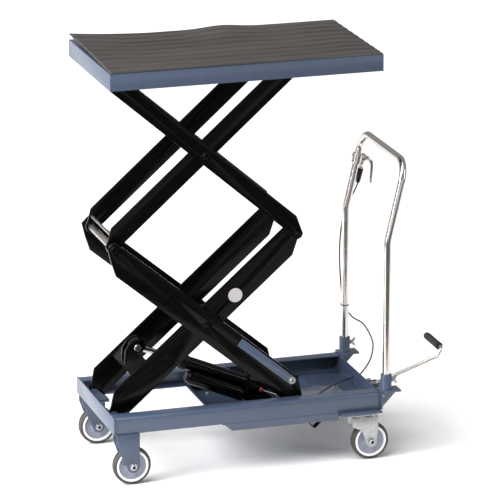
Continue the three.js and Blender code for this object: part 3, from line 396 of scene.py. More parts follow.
def add_piece(name, shape, look, body, stands_for=(), sharp=32, tidy=True):
    """Adds a finished piece, gives it its material and lets it ride on a body."""
    if tidy:
        bmesh.ops.remove_doubles(shape, verts=shape.verts, dist=1e-6)
        bmesh.ops.recalc_face_normals(shape, faces=shape.faces)
    piece = finish_mesh(shape, name, sharp)
    piece.data.materials.append(MATERIALS[look])
    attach(piece, body)
    if stands_for:
        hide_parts(*stands_for)
    return piece


def basis(axis):
    """Two directions at right angles to an axis."""
    axis = axis.normalized()
    side = axis.cross(Z if abs(axis.z) < 0.9 else X).normalized()
    return side, axis.cross(side)


def turned(shape, origin, axis, profile, around=32):
    """Revolves (radius, distance along the axis) pairs about an axis. Radius 0 closes an end."""
    axis = axis.normalized()
    side, up = basis(axis)
    rings = []
    for radius, along in profile:
        centre = origin + axis * along
        if radius <= 1e-7:
            rings.append([shape.verts.new(centre)])
            continue
        ring = []
        for i in range(around):
            angle = 2 * math.pi * i / around
            ring.append(shape.verts.new(centre + (side * math.cos(angle) + up * math.sin(angle)) * radius))
        rings.append(ring)
    for low, high in zip(rings, rings[1:]):
        skin(shape, low, high)
    return shape


def skin(shape, low, high):
    """Faces between two rings, either of which may be a single point."""
    count = max(len(low), len(high))
    for i in range(count):
        j = (i + 1) % count
        corners = [low[i % len(low)], low[j % len(low)], high[j % len(high)], high[i % len(high)]]
        unique = list(dict.fromkeys(corners))
        if len(unique) > 2:
            shape.faces.new(unique)


def mm_profile(*pairs):
    """A profile or outline given in millimetres."""
    return [(first * MM, second * MM) for first, second in pairs]


def both_faces(half, *pairs):
    """A closed profile, mirrored about its middle, of (radius, depth below a face) millimetre pairs."""
    near = [(radius * MM, depth * MM - half) for radius, depth in pairs]
    far = [(radius, -along) for radius, along in reversed(near)]
    return [*near, *far, near[0]]


def rounded_rod(radius, start, end, edge):
    """Profile of a closed rod with rounded edges."""
    return [(0, start), (radius - edge, start), (radius - edge * 0.3, start + edge * 0.3),
            (radius, start + edge), (radius, end - edge), (radius - edge * 0.3, end - edge * 0.3),
            (radius - edge, end), (0, end)]


def swept(shape, points, radius, around=16):
    """A closed tube along points; radius may be a list. The section doesn't twist."""
    points = [Vector(p) for p in points]
    radii = radius if isinstance(radius, list) else [radius] * len(points)
    ahead = (points[1] - points[0]).normalized()
    side, _ = basis(ahead)
    rings = []
    for i, point in enumerate(points):
        before = points[max(0, i - 1)]
        after = points[min(len(points) - 1, i + 1)]
        now = (after - before).normalized()
        side = (side - now * side.dot(now)).normalized()
        up = now.cross(side)
        ring = []
        for k in range(around):
            angle = 2 * math.pi * k / around
            ring.append(shape.verts.new(
                point + (side * math.cos(angle) + up * math.sin(angle)) * radii[i]))
        rings.append(ring)
    for low, high in zip(rings, rings[1:]):
        skin(shape, low, high)
    shape.faces.new(list(reversed(rings[0])))
    shape.faces.new(rings[-1])
    return shape


def rounded_route(corners, radius, steps=8):
    """Points along straight runs joined by round bends."""
    corners = [Vector(c) for c in corners]
    route = [corners[0]]
    for before, here, after in zip(corners, corners[1:], corners[2:]):
        back = (before - here).normalized()
        on = (after - here).normalized()
        half = back.angle(on) / 2
        reach = min(radius / math.tan(half), (before - here).length * 0.49, (after - here).length * 0.49)
        start, end = here + back * reach, here + on * reach
        centre = here + (back + on).normalized() * (reach / math.cos(half))
        arm_a, arm_b = start - centre, end - centre
        sweep = arm_a.angle(arm_b)
        for i in range(steps + 1):
            t = i / steps
            spread = (arm_a * math.sin((1 - t) * sweep) + arm_b * math.sin(t * sweep)) / math.sin(sweep)
            route.append(centre + spread)
    route.append(corners[-1])
    return route


def smooth_route(points, steps=6):
    """A Catmull-Rom curve through given points."""
    points = [Vector(p) for p in points]
    padded = [points[0] * 2 - points[1], *points, points[-1] * 2 - points[-2]]
    route = []
    for a, b, c, d in zip(padded, padded[1:], padded[2:], padded[3:]):
        for i in range(steps):
            t = i / steps
            route.append(0.5 * ((2 * b) + (c - a) * t + (2 * a - 5 * b + 4 * c - d) * t * t
                                + (3 * b - a - 3 * c + d) * t ** 3))
    route.append(points[-1])
    return route


def slab(shape, outline, origin, across, up, normal, thickness, edge=0.0, steps=2):
    """A plate: an outline in (across, up), thickened along normal, with rounded edges."""
    bottom = [shape.verts.new(origin + across * a + up * b) for a, b in outline]
    face = shape.faces.new(bottom)
    grown = bmesh.ops.extrude_face_region(shape, geom=[face])
    top = [item for item in grown["geom"] if isinstance(item, bmesh.types.BMVert)]
    bmesh.ops.translate(shape, verts=top, vec=normal * thickness)
    if edge:
        verts = set(bottom) | set(top)
        edges = [e for e in shape.edges if e.verts[0] in verts and e.verts[1] in verts]
        bmesh.ops.bevel(shape, geom=edges, offset=edge, segments=steps, affect="EDGES",
                        profile=0.5, clamp_overlap=True)
    return shape


def softened(node, look, body, edge, sharp=32, steps=2):
    """Stands for a CAD node with the same solid, its edges rounded."""
    shape = bmesh.new()
    shape.from_mesh(NODES[node].data)
    bmesh.ops.remove_doubles(shape, verts=shape.verts, dist=1e-6)
    bmesh.ops.dissolve_limit(shape, angle_limit=math.radians(0.6), verts=shape.verts, edges=shape.edges)
    crisp = [e for e in shape.edges
             if len(e.link_faces) == 2 and e.calc_face_angle(0) > math.radians(40)]
    bmesh.ops.bevel(shape, geom=crisp, offset=edge, segments=steps, affect="EDGES",
                    profile=0.5, clamp_overlap=True)
    return add_piece(f"{node}_skin", shape, look, body, (node,), sharp, tidy=False)


def bolt_head(shape, place, axis, size, height):
    """A hexagon head on a round washer, both with eased edges."""
    turned(shape, place, axis, rounded_rod(size * 1.55, 0, 1.6 * MM, 0.4 * MM), 28)
    turned(shape, place, axis, [(0, 1.5 * MM), (size, 1.5 * MM), (size * 1.12, 2.0 * MM),
                                (size * 1.12, height - 0.8 * MM), (size * 0.98, height), (0, height)], 6)
    return shape


class Recipe(Tree):
    """A Geometry Nodes tree with named inputs, applied to a carrier object."""

    def __init__(self, name, **inputs):
        self.tree = bpy.data.node_groups.new(name, "GeometryNodeTree")
        face = self.tree.interface
        face.new_socket("Geometry", in_out="OUTPUT", socket_type="NodeSocketGeometry")
        face.new_socket("Geometry", in_out="INPUT", socket_type="NodeSocketGeometry")
        self.keys = {}
        for title, kind in inputs.items():
            self.keys[title] = face.new_socket(title, in_out="INPUT", socket_type=kind).identifier
        self.start = self.tree.nodes.new("NodeGroupInput")
        self.end = self.tree.nodes.new("NodeGroupOutput")

    def given(self, title):
        return Shade(self, self.start.outputs[title])

    def close(self, geometry):
        real = self.node("GeometryNodeRealizeInstances", {}, [geometry])
        coated = self.node("GeometryNodeSetMaterial", {},
                           {"Geometry": real, "Material": self.given("Finish")})
        self.tree.links.new(coated.socket, self.end.inputs[0])
        return self

    def apply(self, carrier, **values):
        modifier = carrier.modifiers.new("recipe", "NODES")
        modifier.node_group = self.tree
        for title, value in values.items():
            modifier[self.keys[title]] = value
        graph = bpy.context.evaluated_depsgraph_get()
        mesh = bpy.data.meshes.new_from_object(carrier.evaluated_get(graph))
        carrier.modifiers.remove(modifier)
        carrier.data = mesh
        return carrier


def heads_recipe():
    """Puts a copy of a head on every point, turned to face along the point's direction."""
    recipe = Recipe("heads_on_points", Head="NodeSocketObject", Finish="NodeSocketMaterial")
    head = recipe.node("GeometryNodeObjectInfo", {}, {"Object": recipe.given("Head")}, "Geometry")
    facing = recipe.node("GeometryNodeInputNamedAttribute", {"data_type": "FLOAT_VECTOR"}, {"Name": "facing"})
    turn = recipe.node("FunctionNodeAlignRotationToVector", {"axis": "Z"}, {"Vector": facing})
    copies = recipe.node("GeometryNodeInstanceOnPoints", {}, {
        "Points": recipe.given("Geometry"), "Instance": head, "Rotation": turn})
    return recipe.close(copies)


def place_heads(name, recipe, head, spots, look, body):
    """One mesh of identical heads for a body; spots are (place, facing) pairs."""
    mesh = bpy.data.meshes.new(name)
    mesh.from_pydata([place for place, _ in spots], [], [])
    facing = mesh.attributes.new("facing", "FLOAT_VECTOR", "POINT")
    facing.data.foreach_set("vector", [part for _, way in spots for part in way])
    piece = bpy.data.objects.new(name, mesh)
    bpy.context.scene.collection.objects.link(piece)
    recipe.apply(piece, Head=head, Finish=MATERIALS[look])
    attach(piece, body)
    return piece


# ---------- places on the frame ----------

LEFT_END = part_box("base_left_end")[0].x
RAIL_LOW, RAIL_HIGH = (corner.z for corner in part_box("base_rail_near"))
BASE_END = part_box("base_right_end")[1].x
RAIL_FACE = -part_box("base_rail_near")[0].y
FOOT = pivot("lift")
CENTRE_LOW = pivot("lower_cross")
CENTRE_HIGH = pivot("upper_cross")
KNUCKLE = pivot("right_knuckle")
PLATFORM_PIVOT = pivot("platform_pivot")
OUTER_FACE = -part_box("upper_outer_arm_near")[0].y
ARM_UP = math.atan2(KNUCKLE.z - FOOT.z, KNUCKLE.x - FOOT.x)


def at(x, y, z):
    """A place in millimetres from the base's left end, the middle and the floor."""
    return Vector((LEFT_END + x * MM, y * MM, z * MM))


# ---------- base frame ----------


WELD_RIPPLE = 2.2 * MM


def weld_bead(shape, start, end, radius):
    """A run of overlapping weld ripples."""
    start, end = Vector(start), Vector(end)
    count = max(4, int((end - start).length / WELD_RIPPLE))
    points = []
    radii = []
    for i in range(count * 3 + 1):
        points.append(start.lerp(end, i / (count * 3)))
        radii.append(radius * (0.86 + 0.14 * math.cos(2 * math.pi * i / 3)))
    radii[0] = radii[-1] = radius * 0.5
    return swept(shape, points, radii, 8)


def build_base(edge):
    plates = ("base_left_end", "base_right_end", "base_tray", "base_rail_near", "base_rail_far",
              "caster_mount_near", "caster_mount_far", "ram_foot_bracket", "pedal_bracket")
    for node in plates:
        softened(node, "blue", "base", edge)
    softened("linkage_cover", "plate", "base", 0.6 * MM)
    beads = bmesh.new()
    for _, side in SIDES:
        y = side * (RAIL_FACE + 0.3 * MM)
        for x in (LEFT_END + 4.2 * MM, BASE_END - 4.2 * MM):
            weld_bead(beads, (x, y, RAIL_LOW + 3 * MM), (x, y, RAIL_HIGH - 11 * MM), 2.0 * MM)
            weld_bead(beads, (x, side * (RAIL_FACE - 12 * MM), RAIL_HIGH + 0.2 * MM),
                      (x, side * (RAIL_FACE - 46 * MM), RAIL_HIGH + 0.2 * MM), 1.8 * MM)
    for _, side in SIDES:
        for start, end in ((470, 560), (640, 730)):
            weld_bead(beads, at(start, side * 226.5, 154.5), at(end, side * 226.5, 154.5), 1.8 * MM)
    tray_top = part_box("base_tray")[1].z
    weld_bead(beads, (BASE_END - 4.5 * MM, -0.17, tray_top + 0.014),
              (BASE_END - 4.5 * MM, -0.1, tray_top - 0.034), 1.8 * MM)
    add_piece("base_welds", beads, "blue", "base")
    strap = bmesh.new()
    outline = mm_profile((661, 150), (683, 129), (706, 150), (700, 150), (683, 133.5), (667, 150))
    slab(strap, outline, at(0, -229, 0), X, Z, Y, 22 * MM, 0.6 * MM)
    add_piece("skirt_strap", strap, "black", "base")


# ---------- scissor ----------

ARM_BODIES = {"lower_inner": "lower_inner_arms", "lower_outer": "lower_outer_arms",
              "upper_outer": "upper_outer_arms", "upper_inner": "upper_inner_arms"}


def build_arms(edge):
    for key, body in ARM_BODIES.items():
        for label, _ in SIDES:
            softened(f"{key}_arm_{label}", "black", body, edge)
    softened("ram_clevis", "black", "lower_inner_arms", edge)
    disc = bmesh.new()
    turned(disc, at(442, -128, 580), -Y, mm_profile(
        (0, 0), (23.5, 0), (24, 0.3), (23.5, 0.7), (0, 0.7)), 48)
    add_piece("arm_disc", disc, "label", "lower_inner_arms")


def pin_end(shape, place, way, radius, dome=3.0 * MM):
    """A pin's turned end with a chamfer."""
    turned(shape, place, way, [(0, 0), (radius, 0), (radius, dome), (radius - 1.2 * MM, dome + 1.2 * MM),
                               (radius * 0.45, dome + 1.6 * MM), (radius * 0.3, dome + 0.9 * MM),
                               (0, dome + 0.9 * MM)], 36)


def washer(shape, place, way, inner, outer, thick=1.6 * MM):
    soft = 0.3 * MM
    turned(shape, place, way, [(inner, 0), (outer - soft, 0), (outer, soft), (outer, thick - soft),
                               (outer - soft, thick), (inner, thick), (inner, 0)], 40)


PIN_FACE = 164.2 * MM


def pin_between(name, node, body, ease, around):
    """A plain shaft that stands for a CAD one."""
    low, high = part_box(node)
    spot = middle(node)
    shape = bmesh.new()
    profile = rounded_rod((high.z - low.z) / 2, 0, high.y - low.y, ease)
    turned(shape, Vector((spot.x, low.y, spot.z)), Y, profile, around)
    add_piece(name, shape, "steel", body, (node,))


def build_pins():
    dark = {body: bmesh.new() for body in ("lower_inner_arms", "lower_outer_arms", "upper_inner_arms")}
    bright = bmesh.new()
    for _, side in SIDES:
        way = Y * side
        for spot, body in ((CENTRE_LOW, "lower_inner_arms"), (KNUCKLE, "lower_inner_arms"),
                           (CENTRE_HIGH, "upper_inner_arms")):
            size = 9 * MM if spot is KNUCKLE else 12 * MM
            place = Vector((spot.x, side * PIN_FACE, spot.z))
            washer(dark[body], place, way, size, size + 5.5 * MM)
            pin_end(dark[body], place + way * 1.4 * MM, way, size + 0.4 * MM, 2.4 * MM)
        place = Vector((PLATFORM_PIVOT.x, side * (OUTER_FACE - 5 * MM), PLATFORM_PIVOT.z))
        pin_end(bright, place, way, 9.2 * MM, 1.6 * MM)
        knuckle = Vector((FOOT.x, side * PIN_FACE, KNUCKLE.z))
        washer(dark["lower_outer_arms"], knuckle, way, 11.2 * MM, 16 * MM)
        pin_end(dark["lower_outer_arms"], knuckle + way * 1.5 * MM, way, 13 * MM, 2.2 * MM)
    for body, shape in dark.items():
        add_piece(f"{body}_pin_ends", shape, "black", body)
    add_piece("upper_outer_arms_pin_ends_bright", bright, "steel", "upper_outer_arms")
    pin_between("knuckle_shaft_turned", "knuckle_shaft", "lower_outer_arms", 1.2 * MM, 48)
    pin_between("knuckle_tie_rod_drawn", "knuckle_tie_rod", "upper_inner_arms", 0.5 * MM, 28)
    pin = bmesh.new()
    spot = middle("clevis_pin")
    turned(pin, Vector((spot.x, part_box("clevis_pin")[0].y, spot.z)), Y, mm_profile(
        (0, 0), (11, 0), (12, 1), (12, 5.2), (11.4, 5.6), (8, 5.6), (8, 53.4), (11, 53.6), (11, 56.8),
        (8, 57), (7.2, 59), (0, 59)), 40)
    add_piece("clevis_pin_turned", pin, "steel", "lower_inner_arms", ("clevis_pin",))


def build_rollers():
    for kind in ("base", "platform"):
        for label, _ in SIDES:
            node = f"{kind}_roller_{label}"
            low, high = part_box(node)
            radius = (high.z - low.z) / 2 / MM
            roller = bmesh.new()
            turned(roller, middle(node), Y, both_faces(
                (high.y - low.y) / 2, (8.3, 0), (15, 0), (15.5, 1), (radius - 2.5, 1), (radius, 2.5)), 48)
            add_piece(f"{node}_turned", roller, "steel", node, (node,))


def build_prop(edge):
    softened("service_prop", "blue", "service_prop", edge)
    spot = pivot("service_prop_swing")
    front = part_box("service_prop")[0].y
    bolt = bmesh.new()
    place = Vector((spot.x, front - 0.1 * MM, spot.z))
    washer(bolt, place, -Y, 6.2 * MM, 11.5 * MM, 1.8 * MM)
    turned(bolt, place - Y * 1.4 * MM, -Y, [(0, 0), (8.6 * MM, 0), (8.6 * MM, 3 * MM), (7.4 * MM, 4.4 * MM),
                                            (3.6 * MM, 4.6 * MM), (3.2 * MM, 3 * MM), (0, 3 * MM)], 32)
    add_piece("service_prop_bolt", bolt, "zinc", "lower_outer_arms")


# ---------- hydraulic ram ----------

RAM_FOOT = pivot("ram_tilt")
RAM_AHEAD = Vector(JOINTS["ram_rod_slide"]["axis"])
RAM_ABOVE = Vector((-RAM_AHEAD.z, 0, RAM_AHEAD.x)) * (-1 if RAM_AHEAD.x < 0 else 1)


def on_ram(ahead, y, above):
    """A place in millimetres ahead of the ram's foot, across it and above its axis."""
    return RAM_FOOT + RAM_AHEAD * (ahead * MM) + Y * (y * MM) + RAM_ABOVE * (above * MM)


def ram_brick(shape, ahead, across, above, edge):
    """A block between two values in each of the ram's directions."""
    size = [(high - low) * MM for low, high in (ahead, across, above)]
    outline = [(0, 0), (size[0], 0), (size[0], size[1]), (0, size[1])]
    origin = on_ram(ahead[0], across[0], above[0])
    return slab(shape, outline, origin, RAM_AHEAD, Y, RAM_ABOVE, size[2], edge * MM)


def build_ram():
    shape = bmesh.new()
    turned(shape, on_ram(0, 0, 0), RAM_AHEAD, mm_profile(
        (0, 86), (23, 86), (23, 311), (24.5, 312), (26, 313.5), (27, 315), (27, 322), (25.6, 323),
        (25.6, 325), (27, 326), (27, 334), (25.5, 337.6), (19, 338), (17, 336), (12, 336), (12, 330),
        (0, 330)), 56)
    turned(shape, on_ram(0, 0, 0), RAM_AHEAD, mm_profile(
        (0, 92), (26, 92), (27, 93), (27, 97), (26, 98.5), (23, 99.5), (0, 99.5)), 56)
    ram_brick(shape, (28, 93), (-50, 25), (-50, 25), 2.2)
    turned(shape, on_ram(0, -20, 0), Y, mm_profile(
        (10.3, 0), (22.5, 0), (24, 1.5), (24, 38.5), (22.5, 40), (10.3, 40), (10.3, 0)), 48)
    ram_brick(shape, (14, 32), (-20, 20), (-22, 22), 1.5)
    ram_brick(shape, (0, 40), (-49, -27), (-33, -11), 1.5)
    ram_brick(shape, (64, 86), (-74, -48), (-5, 13), 1.2)
    turned(shape, on_ram(60, -18, 24), RAM_ABOVE, mm_profile((0, 0), (9, 0), (9, 3), (7.5, 3.4), (0, 3.4)), 6)
    turned(shape, on_ram(44, 8, 24), RAM_ABOVE, mm_profile((0, 0), (6, 0), (6, 4), (5, 5), (0, 5)), 6)
    add_piece("ram_body", shape, "black", "ram", ("ram_barrel",))
    tank = bmesh.new()
    turned(tank, on_ram(0, -28, -37.5), RAM_AHEAD, mm_profile(
        (0, 93.3), (21, 93.3), (23, 95), (23, 285), (22.4, 292), (20, 298), (17, 300.5), (16, 306), (15, 307),
        (0, 307)), 56)
    turned(tank, on_ram(0, -28, -37.5), RAM_AHEAD, mm_profile(
        (22, 100), (23.8, 101), (23.8, 106), (22, 107), (22, 100)), 56)
    turned(tank, on_ram(270, -28, -16), RAM_ABOVE, mm_profile((0, 0), (6, 0), (6, 3), (4.5, 4), (0, 4)), 24)
    add_piece("oil_tank", tank, "black", "ram", ("oil_reservoir",))
    seal = bmesh.new()
    turned(seal, on_ram(0, 0, 0), RAM_AHEAD, mm_profile(
        (11.2, 334), (16.6, 334), (16.6, 338.4), (13.4, 339.6), (11.2, 339), (11.2, 334)), 40)
    add_piece("rod_wiper", seal, "black_rubber", "ram")
    reach = (middle("clevis_pin") - RAM_FOOT).length / MM
    rod = bmesh.new()
    turned(rod, on_ram(0, 0, 0), RAM_AHEAD, mm_profile(
        (0, 228), (16.4, 228), (16.4, 241), (11, 242), (11, reach - 22), (0, reach - 22)), 48)
    add_piece("rod_shank", rod, "chrome", "ram_rod")
    eye = bmesh.new()
    turned(eye, on_ram(reach, -13, 0), Y, mm_profile(
        (19, 0), (24.5, 0), (26, 1.5), (26, 24.5), (24.5, 26), (19, 26), (19, 0)), 48)
    turned(eye, on_ram(0, 0, 0), RAM_AHEAD, mm_profile(
        (0, reach - 29), (13, reach - 29), (15.5, reach - 27.5), (15.5, reach - 22), (0, reach - 22)), 6)
    add_piece("rod_eye", eye, "black", "ram_rod", ("ram_rod",))
    valve = bmesh.new()
    turned(valve, on_ram(62.4, -66, 4), -RAM_AHEAD, mm_profile(
        (0, 0), (7, 0), (7.8, 0.8), (7.8, 9.4), (6.6, 12), (4, 13.2), (0, 13.4)), 32)
    add_piece("release_cap", valve, "red", "release_valve")
    pull = bmesh.new()
    points = [on_ram(84, -66, 4), on_ram(20, -66, 4), on_ram(-50, -66, 4), on_ram(-56, -66, 4)]
    swept(pull, points, 2.4 * MM, 12)
    turned(pull, on_ram(-48, -66, 4), -RAM_AHEAD, mm_profile(
        (0, 0), (4, 0), (4.6, 0.6), (4.6, 5), (4, 5.6), (0, 5.6)), 6)
    add_piece("pull_rod", pull, "steel", "release_valve", ("release_valve",))
    plunger = bmesh.new()
    turned(plunger, on_ram(0, -38, -22), -RAM_AHEAD, mm_profile(
        (0, 0), (6, 0), (6, 29), (7.5, 29.6), (8, 30.5), (8, 34.5), (6.4, 36), (0, 36)), 32)
    add_piece("plunger_turned", plunger, "steel", "pump_plunger", ("pump_plunger",))
    link = bmesh.new()
    low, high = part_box("pedal_link")
    z = middle("pedal_link").z
    y = (low.y + high.y) / 2
    rod_end = high.x - 18 * MM
    turned(link, Vector((low.x, y, z)), X, rounded_rod(5 * MM, 0, rod_end - low.x, 0.8 * MM), 24)
    eye_centre = Vector((high.x - 9.6 * MM, y - 3 * MM, z))
    turned(link, eye_centre, Y, mm_profile((5.6, 0), (9.2, 0), (9.6, 0.5), (9.6, 5.5), (9.2, 6), (5.6, 6),
                                           (5.6, 0)), 32)
    add_piece("link_rod", link, "steel", "pedal_link", ("pedal_link",))


# ---------- wheels and casters ----------


WHEEL_RIBS = 6


def build_wheel(node, body):
    """A tyre, its rim, a ribbed disc and the bearing race, each turned from its own profile."""
    low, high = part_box(node)
    centre = middle(node)
    half = (high.y - low.y) / 2
    radius = (high.z - low.z) / 2 / MM
    tyre = bmesh.new()
    turned(tyre, centre, Y, both_faces(
        half, (51, 3), (53, 1.6), (56, 0.5), (58.5, 0.6), (60.8, 2.4), (62.4, 5.6), (radius - 0.3, 9.5),
        (radius, half / MM - 3)), 96)
    add_piece(f"{node}_tyre", tyre, "tyre", body, (node,))
    ring = bmesh.new()
    turned(ring, centre, Y, both_faces(half, (45.2, 4.5), (46, 1.2), (47, 0.4), (52, 0.5), (53.2, 1.4)), 96)
    add_piece(f"{node}_rim", ring, "rim", body)
    disc = bmesh.new()
    turned(disc, centre, Y, both_faces(
        half, (9, 0.2), (18.5, 0.2), (20, 1.6), (21.5, 5.2), (24, 6.2), (40, 6), (43, 4.6), (45.5, 3.8)), 72)
    rib = mm_profile((22, -1.3), (44, -1.1), (44, 1.1), (22, 1.3))
    for i in range(WHEEL_RIBS):
        spin = Matrix.Rotation(2 * math.pi * i / WHEEL_RIBS + 0.2, 3, Y)
        for way in (-Y, Y):
            slab(disc, rib, centre + way * (half - 7 * MM), spin @ X, spin @ Z, way, 2.6 * MM, 0.5 * MM)
    add_piece(f"{node}_disc", disc, "hub", body)
    race = bmesh.new()
    turned(race, centre, Y, both_faces(half, (6.4, 0), (8.4, 0), (9.2, 1)), 36)
    add_piece(f"{node}_race", race, "steel", body)


def build_axle(node, body):
    low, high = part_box(node)
    spot = (low + high) / 2
    shape = bmesh.new()
    turned(shape, Vector((spot.x, low.y, spot.z)), Y, rounded_rod(6 * MM, 0, high.y - low.y, 0.8 * MM), 28)
    for y, way in ((low.y, 1), (high.y, -1)):
        plate = Vector((spot.x, y + way * 7.4 * MM, spot.z))
        washer(shape, plate, -Y * way, 6.1 * MM, 12.4 * MM, 1.5 * MM)
        turned(shape, plate, -Y * way, mm_profile(
            (0, 1.4), (9.6, 1.4), (10.3, 2), (10.3, 6.2), (9.3, 7.2), (7, 7.4), (0, 7.4)), 6)
    add_piece(f"{node}_bolt", shape, "zinc", body, (node,))


def build_casters(edge, recipe, head):
    for label, side in SIDES:
        softened(f"fixed_fork_{label}", "blue", "base", edge)
        build_axle(f"fixed_axle_{label}", "base")
        build_wheel(f"wheel_left_{label}", f"wheel_left_{label}")
        softened(f"caster_fork_{label}", "zinc", f"caster_{label}", edge)
        build_axle(f"caster_axle_{label}", f"caster_{label}")
        build_wheel(f"wheel_right_{label}", f"wheel_right_{label}")
        node = f"caster_top_plate_{label}"
        low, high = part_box(node)
        spot = pivot(f"caster_{label}_swivel", side * 206 * MM)
        race = bmesh.new()
        slab(race, [(low.x, low.y), (high.x, low.y), (high.x, high.y), (low.x, high.y)],
             Vector((0, 0, high.z - 4 * MM)), X, Y, Z, 4 * MM, 1.2 * MM)
        under = Vector((spot.x, spot.y, high.z - 3.5 * MM))
        turned(race, under, -Z, mm_profile(
            (0, 0), (30, 0), (30.5, 1.2), (29, 3.4), (26.5, 4.6), (26, 5.6), (27.8, 6.8), (28, 8.4),
            (26.4, 9.3), (6, 9.3), (6, 20.4), (0, 20.4)), 56)
        turned(race, under, -Z, mm_profile(
            (0, 13.2), (10.6, 13.2), (11, 13.8), (11, 19), (10, 20.6), (0, 20.6)), 6)
        add_piece(f"{node}_race", race, "zinc", "base", (node,))
        spots = []
        for x in (low.x + 9 * MM, high.x - 9 * MM):
            for y in (low.y + 9 * MM, high.y - 9 * MM):
                spots.append(((x, y, high.z - 4.1 * MM), (0, 0, -1)))
        place_heads(f"caster_bolts_{label}", recipe, head, spots, "zinc", "base")


# ---------- push handle, lever and cable ----------

# In millimetres, as at() takes them: the tube's X at its foot and its distance from the middle, the
# height where it starts to lean, and the X and height of its top.
HANDLE_FOOT = (935.6, 212)
HANDLE_BEND = 738
HANDLE_TOP = (996, 1003)
TOP_CORNER_RADIUS = 62 * MM
LEAN_BEND_RADIUS = 150 * MM
HANDLE_TUBE_RADIUS = 12.5 * MM


def handle_route():
    x, y = HANDLE_FOOT
    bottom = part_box("push_handle")[0].z / MM
    top_x, top_z = HANDLE_TOP
    corners = [at(x, -y, bottom), at(x, -y, HANDLE_BEND), at(top_x, -y, top_z), at(top_x, y, top_z),
               at(x, y, HANDLE_BEND), at(x, y, bottom)]
    route = [corners[0]]
    for i in range(1, len(corners) - 1):
        radius = LEAN_BEND_RADIUS if i in (1, 4) else TOP_CORNER_RADIUS
        bend = rounded_route(corners[i - 1:i + 2], radius, 14)
        route.extend(bend[1:-1])
    route.append(corners[-1])
    return route


def build_handle(edge):
    tube = bmesh.new()
    swept(tube, handle_route(), HANDLE_TUBE_RADIUS, 32)
    add_piece("handle_tube", tube, "chrome", "base", ("push_handle",), 50)
    for label, side in SIDES:
        softened(f"handle_socket_{label}", "blue", "base", edge, sharp=35)
        low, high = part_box(f"thumb_screw_{label}")
        centre = (low + high) / 2
        spot = Vector((low.x, centre.y, centre.z))
        screw = bmesh.new()
        turned(screw, spot, X, mm_profile(
            (0, 0.2), (3.6, 0.2), (4, 0.8), (4, 6), (7, 6.4), (7.4, 7), (7.4, 9.4), (6, 11), (5, 17),
            (4, 18.4), (0, 18.4)), 28)
        wing = mm_profile((9, -2), (13, -6), (17, -12), (22, -15), (25, -14), (26, -11), (24, -6), (19, 0),
                          (24, 6), (26, 11), (25, 14), (22, 15), (17, 12), (13, 6), (9, 2))
        slab(screw, wing, spot - Y * 1.9 * MM, X, Z, Y, 3.8 * MM, 1.1 * MM)
        add_piece(f"wing_screw_{label}", screw, "zinc", "base", (f"thumb_screw_{label}",))
        lip = bmesh.new()
        top = at(HANDLE_FOOT[0], side * HANDLE_FOOT[1], 0)
        top.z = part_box(f"handle_socket_{label}")[1].z
        turned(lip, top, Z, mm_profile(
            (12.8, -4), (17.6, -1), (17.6, 0.4), (16.6, 1.2), (13.6, 1.2), (12.8, 0.4), (12.8, -4)), 40)
        add_piece(f"socket_lip_{label}", lip, "blue", "base")


CABLE_ROUTE = (
    (966, 219, 790), (948, 229, 750), (931, 231, 695), (922, 231, 600), (925, 231, 500), (937, 231, 401),
    (966, 226, 352), (1003, 210, 325), (1022, 172, 274), (997, 115, 238), (957, 68, 214), (925, 43, 201.5),
    (885, 34, 197), (820, -6, 194), (745, -62, 187), (697, -66, 179.5), (658, -66, 178))


LEVER_PIVOT = (25 * MM, 8 * MM)   # from the clamp's middle, across and up the tube
BOOT_OUT = 22                     # the boot's axis from the tube's, in millimetres
CABLE_RADIUS = 2.6 * MM
TIE_HEIGHT = 401
TIE_REACH = 13.2
TIE_STRETCH = 10.5                # further out on the cable's side


def lever_frame():
    """The lever clamp's own directions: across the leaning handle tube and along it."""
    lean = math.atan2(HANDLE_TOP[0] - HANDLE_FOOT[0], HANDLE_TOP[1] - HANDLE_BEND)
    return Vector((math.cos(lean), 0, -math.sin(lean))), Vector((math.sin(lean), 0, math.cos(lean)))


